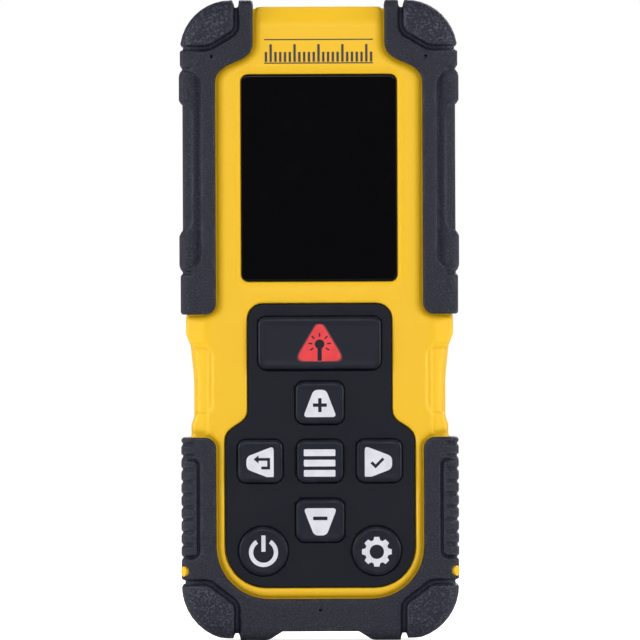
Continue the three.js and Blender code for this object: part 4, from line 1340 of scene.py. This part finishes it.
doorLook = {
    "inner": 12.8, "top": 77.2, "corner": 0.9, "edge": 0.45, "step": 0.2,
    "panel": {"half": 10.4, "low": 35.5, "high": 74.5, "deep": 0.25},
    "ribs": {"half": 7.5, "low": 38.0, "count": 4, "pitch": 1.7, "radius": 0.5},
    "neck": {"half": 9.1, "low": 76.2, "high": 79},
    "knuckle": 1.6, "pinHole": 1.0,
    "latchGap": 0.25, "latchTravel": 1.5,
}
latchLook = {
    "corner": 0.8, "edge": 0.4, "face": 0.35,
    "ribs": 3, "ribHalf": 3.5, "ribRadius": 0.34, "pitch": 1.15,
}


def crossRib(clay, half, level, radius):
    # a round-ended rib that lies across
    return np.hypot(np.maximum(np.abs(clay["x"]) - half, 0), clay["z"] - level) - radius


def makeDoor():
    look = doorLook
    clay = clayAround(doorLow, doorHigh, 0.6, look["step"])
    x, y, z = clay["x"], clay["y"], clay["z"]
    inner, outer = look["inner"], doorHigh.y
    edge = fence(clay, centredBox(doorHigh.x, doorLow.z, look["top"], look["corner"]))
    plate = softMax(np.maximum(edge, inner - y), y - outer, look["edge"])
    panel = look["panel"]
    inset = fence(clay, centredBox(panel["half"], panel["low"], panel["high"], 2.5))
    plate = carve(plate, np.maximum(inset, outer - panel["deep"] - y), 0.3)
    ribs = look["ribs"]
    for number in range(ribs["count"]):
        rib = crossRib(clay, ribs["half"], ribs["low"] + number * ribs["pitch"], ribs["radius"])
        rib = meet(rib, y - outer + 0.02, inner - y)
        plate = softMin(plate, rib, 0.25)
    neck = look["neck"]
    neckEdge = fence(clay, centredBox(neck["half"], neck["low"], neck["high"], 0.2))
    plate = softMin(plate, softMax(np.maximum(neckEdge, inner - y), y - outer, 0.3), 0.1)
    fromPin = np.hypot(y - middleOf("battery_door_pin").y, z - middleOf("battery_door_pin").z)
    knuckle = softMax(fromPin - look["knuckle"], np.abs(x) - neck["half"], 0.2)
    plate = carve(softMin(plate, knuckle, 0.3), fromPin - look["pinHole"], 0.05)
    gap = look["latchGap"]
    slot = centredBox(latchHigh.x + gap, latchLow.z - gap, latchHigh.z + gap + look["latchTravel"], 0.9)
    plate = carve(plate, np.maximum(fence(clay, slot), latchLow.y - 0.12 - y), 0.25)
    castPiece("doorCover", clay, plate, "keypad_plastic", ["battery_door"], "battery_door")
    makeLatch()


def makeLatch():
    look = latchLook
    clay = clayAround(latchLow, latchHigh, 0.4, 0.1)
    y = clay["y"]
    edge = fence(clay, centredBox(latchHigh.x, latchLow.z, latchHigh.z, look["corner"]))
    slider = softMax(np.maximum(edge, latchLow.y - y), y - latchHigh.y + look["face"], look["edge"])
    for number in range(look["ribs"]):
        rib = crossRib(clay, look["ribHalf"], latchLow.z + 1 + look["pitch"] * number, look["ribRadius"])
        rib = meet(rib, y - latchHigh.y, latchLow.y + 0.3 - y)
        slider = softMin(slider, rib, 0.15)
    castPiece("doorLatch", clay, slider, "yellow_plastic", ["battery_door_latch"], "battery_door_latch")


cellLook = {"shoulder": 1.1, "wrapEnd": 0.9, "endLift": 0.25, "nub": 0.8, "nubRadius": 1.9, "lip": 0.1}


def makeCells():
    look = cellLook
    for side in ("left", "right"):
        low, high = boxOf(f"battery_{side}")
        radius, tall = (high.x - low.x) / 2, high.z - low.z
        body, lift, inside = tall - look["nub"], look["endLift"], radius - look["wrapEnd"]
        shape = [(0, 0), (inside, 0), (inside, lift), (radius, lift), (radius, body - look["lip"])]
        shape += [(radius - look["shoulder"], body - look["lip"]), (radius - look["shoulder"], body)]
        shape += [(look["nubRadius"], body), (look["nubRadius"], tall), (0, tall)]
        start, way = (low.z, 1) if side == "left" else (high.z, -1)
        profile = [(r, start + way * h) for r, h in roundedSteps(shape, 0.4)]
        middle = middleOf(f"battery_{side}")
        mesh = spin(profile, (middle.x, middle.y, 0), 72)
        points = pointsOf(mesh)
        setMask(mesh, "along", (points[:, 2] - start) * way / tall)
        setMask(mesh, "bare", np.hypot(points[:, 0] - middle.x, points[:, 1] - middle.y) < radius - 0.7)
        addPiece(f"{side}Cell", mesh, "cell_jacket", [f"battery_{side}"])


# Printed marks: flat shapes a hair proud of the face they are printed on.

inkHalf = 0.06


def inkPiece(name, outlines, face, ink, body, slot, behind=False, proud=0.03):
    flat = bpy.data.curves.new(name, "CURVE")
    flat.dimensions = "2D"
    flat.fill_mode = "BOTH"
    flat.extrude = inkHalf * mm
    for outline in outlines:
        spline = flat.splines.new("POLY")
        spline.points.add(len(outline) - 1)
        turned = [(x * mm, (-z if behind else z) * mm, 0, 1) for x, z in outline]
        spline.points.foreach_set("co", np.array(turned).ravel())
        spline.use_cyclic_u = True
    carrier = bpy.data.objects.new(name, flat)
    bpy.context.scene.collection.objects.link(carrier)
    mesh = bpy.data.meshes.new_from_object(carrier.evaluated_get(bpy.context.evaluated_depsgraph_get()))
    bpy.data.objects.remove(carrier)
    level = face + proud - inkHalf if behind else face - proud + inkHalf
    swing = Matrix.Rotation(-math.pi / 2 if behind else math.pi / 2, 4, "X")
    mesh.transform(Matrix.Translation((0, level * mm, 0)) @ swing)
    shell = bmesh.new()
    shell.from_mesh(mesh)
    bmesh.ops.remove_doubles(shell, verts=shell.verts, dist=0.002 * mm)
    shell.to_mesh(mesh)
    shell.free()
    return addPiece(name, mesh, slot, body=body, finish=ink)


def softPolygon(corners, radius):
    around = [corners[-1]] + list(corners) + [corners[0]]
    return distinct(roundedSteps(around, radius, 6)[1:-1])


def sweep(x, z, radius, start, end, count, endpoint=True):
    turns = np.radians(np.linspace(start, end, count, endpoint=endpoint))
    return [(x + radius * math.cos(t), z + radius * math.sin(t)) for t in turns]


def bar(x, z, angle, start, end, width):
    # a straight mark that runs out from a point
    out = np.array([math.cos(math.radians(angle)), math.sin(math.radians(angle))])
    aside = np.array([-out[1], out[0]]) * width / 2
    middle = np.array([x, z])
    near, far = middle + out * start, middle + out * end
    return [tuple(c) for c in (near - aside, far - aside, far + aside, near + aside)]


def stroke(points, width):
    # a line of even width with mitred corners
    points = [np.array(p, float) for p in points]
    left, right = [], []
    for i, here in enumerate(points):
        ahead = points[min(i + 1, len(points) - 1)] - points[min(i, len(points) - 2)]
        behind = points[max(i, 1)] - points[max(i - 1, 0)]
        ahead, behind = ahead / np.linalg.norm(ahead), behind / np.linalg.norm(behind)
        mitre = np.array([-(ahead + behind)[1], (ahead + behind)[0]])
        mitre /= np.linalg.norm(mitre)
        reach = width / 2 / max(np.dot(mitre, (-ahead[1], ahead[0])), 0.3)
        left.append(tuple(here + mitre * reach))
        right.append(tuple(here - mitre * reach))
    return left + right[::-1]


def gearOutline(x, z, teeth, root, tip):
    outline = []
    for number in range(teeth):
        middle = 2 * math.pi * number / teeth
        for turn, radius in ((-0.29, root), (-0.17, tip), (0.17, tip), (0.29, root)):
            outline.append((x + radius * math.cos(middle + turn), z + radius * math.sin(middle + turn)))
    return outline


iconLook = {
    "corner": 0.95,
    "button": {"wide": 3.5, "narrow": 1.3, "tall": 5.7},
    "rays": (212, 176, 134, 90, 46, 4, -32),
    "line": 0.6,
}


def keyMiddle(node):
    return middleOf(node).x, middleOf(node).z


def pointer(x, z, turn):
    # the blunt rounded triangle behind each sign, turned to point its way
    look = iconLook["button"]
    corners = [(-look["wide"], -look["tall"] / 2), (look["wide"], -look["tall"] / 2)]
    corners += [(look["narrow"], look["tall"] / 2), (-look["narrow"], look["tall"] / 2)]
    c, s = math.cos(math.radians(turn)), math.sin(math.radians(turn))
    return softPolygon([(x + c * u - s * v, z + s * u + c * v) for u, v in corners], iconLook["corner"])


def makeIcons():
    face = boxOf("menu_key")[0].y + keyLooks["dish"]
    line = iconLook["line"]

    def printIcon(node, outlines, ink, proud=0.03, suffix="Icon"):
        inkPiece(node.split("_")[0] + suffix, outlines, face, ink, node, "key_rubber", proud=proud)

    x, z = keyMiddle("measure_key")
    beam = (x, z - 0.25)
    triangle = [(x - 5.15, z - 3.75), (x + 5.15, z - 3.75), (x, z + 4.95)]
    rays = [bar(*beam, angle, 1.55, 2.35, 0.3) for angle in iconLook["rays"]]
    neck = math.degrees(math.acos(0.45))
    keyhole = sweep(*beam, 1.0, -neck, 180 + neck, 32) + [(x - 0.45, z - 3.7), (x + 0.45, z - 3.7)]
    printIcon("measure_key", [softPolygon(triangle, 2.3), keyhole] + rays, redInk)
    halo = [(x - 5.6, z - 4.0), (x + 5.6, z - 4.0), (x, z + 5.5)]
    halo = [softPolygon(halo, 2.6), softPolygon(triangle, 2.3)]
    printIcon("measure_key", halo, darkRedInk, proud=0.012, suffix="Halo")

    x, z = keyMiddle("plus_key")
    z -= 0.15
    arm, half = 1.45, 0.36
    corner = [(half, half), (half, arm), (-half, arm)]
    cross = [(x + c * u - s * v, z - 0.35 + s * u + c * v)
             for c, s in ((1, 0), (0, 1), (-1, 0), (0, -1)) for u, v in corner]
    printIcon("plus_key", [pointer(x, z, 0), cross], whiteInk)

    x, z = keyMiddle("minus_key")
    z -= 0.3
    dash = roundedBox(x - 1.5, x + 1.5, z + 0.35, z + 1.1, 0.05)
    printIcon("minus_key", [pointer(x, z, 180), dash], whiteInk)

    x, z = keyMiddle("back_key")
    z -= 0.35
    bend = [(x - 0.35, z + 0.75), (x + 1.75, z + 0.75), (x + 1.75, z - 1.05), (x + 0.2, z - 1.05)]
    hook = stroke(bend, line)
    head = [(x - 0.35, z + 1.6), (x - 0.35, z - 0.1), (x - 1.4, z + 0.75)]
    printIcon("back_key", [pointer(x - 0.05, z, 90), hook, head], whiteInk)

    x, z = keyMiddle("confirm_key")
    z -= 0.35
    tick = stroke([(x - 1.65, z + 0.05), (x - 0.8, z - 0.8), (x + 0.85, z + 0.85)], line)
    printIcon("confirm_key", [pointer(x - 0.2, z, -90), tick], whiteInk)

    x, z = keyMiddle("menu_key")
    levels = (z + 1.75, z - 0.42, z - 2.55)
    bars = [roundedBox(x - 3.4, x + 3.2, level - 0.7, level + 0.7, 0.2) for level in levels]
    printIcon("menu_key", bars, whiteInk)

    x, z = keyMiddle("power_key")
    ring = sweep(x, z - 0.25, 3.05, 122, 418, 60) + sweep(x, z - 0.25, 2.15, 122, 418, 60)[::-1]
    printIcon("power_key", [ring, bar(x, z, 90, -0.1, 3.3, 0.86)], whiteInk)

    x, z = keyMiddle("settings_key")
    hub = sweep(x, z - 0.2, 1.5, 0, 360, 40, endpoint=False)
    printIcon("settings_key", [gearOutline(x, z - 0.2, 8, 2.5, 3.15), hub], whiteInk)


ruleLook = {"half": 11, "bottom": 121.0, "top": 125.8, "short": 2.1, "long": 3.7, "width": 0.5, "line": 0.24}


def makeRule():
    # a plain row of graduation marks above the display
    look = ruleLook
    marks = []
    for number in range(-look["half"], look["half"] + 1):
        tall = look["long"] if number % 5 == 0 else look["short"]
        wide = look["width"] / 2
        marks.append(roundedBox(number - wide, number + wide, look["bottom"], look["bottom"] + tall, 0.08))
    reach, line = look["half"] + 0.4, look["line"]
    for level in (look["bottom"] - 0.12, look["top"]):
        marks.append(roundedBox(-reach, reach, level - line, level, 0.05))
    inkPiece("topRule", marks, faceY, blackInk, "case", "yellow_plastic")


# The parts inside keep their built shapes, with softened edges.

insideEdge = 0.1


def finishInside():
    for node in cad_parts.values():
        for seat in node.material_slots:
            seat.material = finishes.get(seat.material.name.split(".")[0], seat.material)
        soften = node.modifiers.new("soften", "BEVEL")
        soften.width = insideEdge * mm
        soften.segments = 2
        soften.angle_limit = math.radians(40)
        soften.harden_normals = False


makeBezel()
makeScrews()
makeBush()
makeDoor()
makeCells()
makeLabel()
makeIcons()
makeRule()
finishInside()
print("fittings, door, cells and printed marks are in place")


# Studio: a pale floor, wide soft lights and a long lens square to the front.

studio = {
    "distance": 4.0,
    "framed": 0.13433,  # how much of the object's plane fills the picture
    "aside": 0.0001,
    "roll": 0.22,
    "room": 0.2,  # how brightly the walls light the object
    "lights": {
        "leftBox": {"at": (-0.90, -0.20, 0.24), "size": (0.45, 0.8), "power": 6.6},
        "rightBox": {"at": (0.90, -0.20, 0.24), "size": (0.45, 0.8), "power": 6.0},
        "overhead": {"at": (0.0, -0.10, 0.75), "size": (0.9, 0.3), "power": 0.9},
        "frontFill": {"at": (0.0, -1.2, 0.42), "size": (0.5, 0.35), "power": 4.3},
        "backFill": {"at": (0.25, 1.2, 0.50), "size": (0.7, 0.5), "power": 6.0},
    },
}


def makeStudio():
    scene = bpy.context.scene
    middle = (cadLow + cadHigh) / 2
    bpy.ops.mesh.primitive_plane_add(size=6, location=(0, 0, -0.00005))
    floor = bpy.context.object
    floor.name = "floor"
    material, tree, shader, here = startMaterial("paleFloor")
    cloud = place(tree, "TexNoise", {"Vector": here, "Scale": 3.0}).outputs["Fac"]
    tree.links.new(blendColors(tree, cloud, paint("fbfbfb"), paint("f7f7f7")), shader.inputs["Base Color"])
    shader.inputs["Roughness"].default_value = 0.7
    shader.inputs["Specular IOR Level"].default_value = 0.1
    floor.data.materials.append(material)
    seen = place(tree, "LightPath").outputs["Is Camera Ray"]
    tree.links.new(calc(tree, "MULTIPLY", seen, 0.82), shader.inputs["Emission Strength"])
    shader.inputs["Emission Color"].default_value = (1, 1, 1, 1)
    for name, look in studio["lights"].items():
        data = bpy.data.lights.new(name, "AREA")
        data.shape = "RECTANGLE"
        data.size, data.size_y = look["size"]
        data.energy = look["power"]
        lamp = bpy.data.objects.new(name, data)
        lamp.location = look["at"]
        lamp.rotation_euler = (middle - lamp.location).to_track_quat("-Z", "Y").to_euler()
        lamp.visible_camera = False
        scene.collection.objects.link(lamp)
    world = bpy.data.worlds.new("paleRoom")
    world.use_nodes = True
    world.node_tree.nodes["Background"].inputs["Color"].default_value = (1, 1, 1, 1)
    tree = world.node_tree
    seen = place(tree, "LightPath").outputs["Is Camera Ray"]
    strength = spread(tree, seen, 0, 1, studio["room"], 1.0)
    tree.links.new(strength, tree.nodes["Background"].inputs["Strength"])
    scene.world = world
    lens = bpy.data.cameras.new("longLens")
    camera = bpy.data.objects.new("longLens", lens)
    camera.location = (studio["aside"], -studio["distance"], middle.z)
    camera.rotation_euler = (math.pi / 2, math.radians(studio["roll"]), 0)
    lens.lens = lens.sensor_width * studio["distance"] / studio["framed"]
    lens.clip_start = 0.05
    lens.clip_end = 20
    scene.collection.objects.link(camera)
    scene.camera = camera
    scene.view_settings.view_transform = "Standard"


makeStudio()
print("the studio is lit")
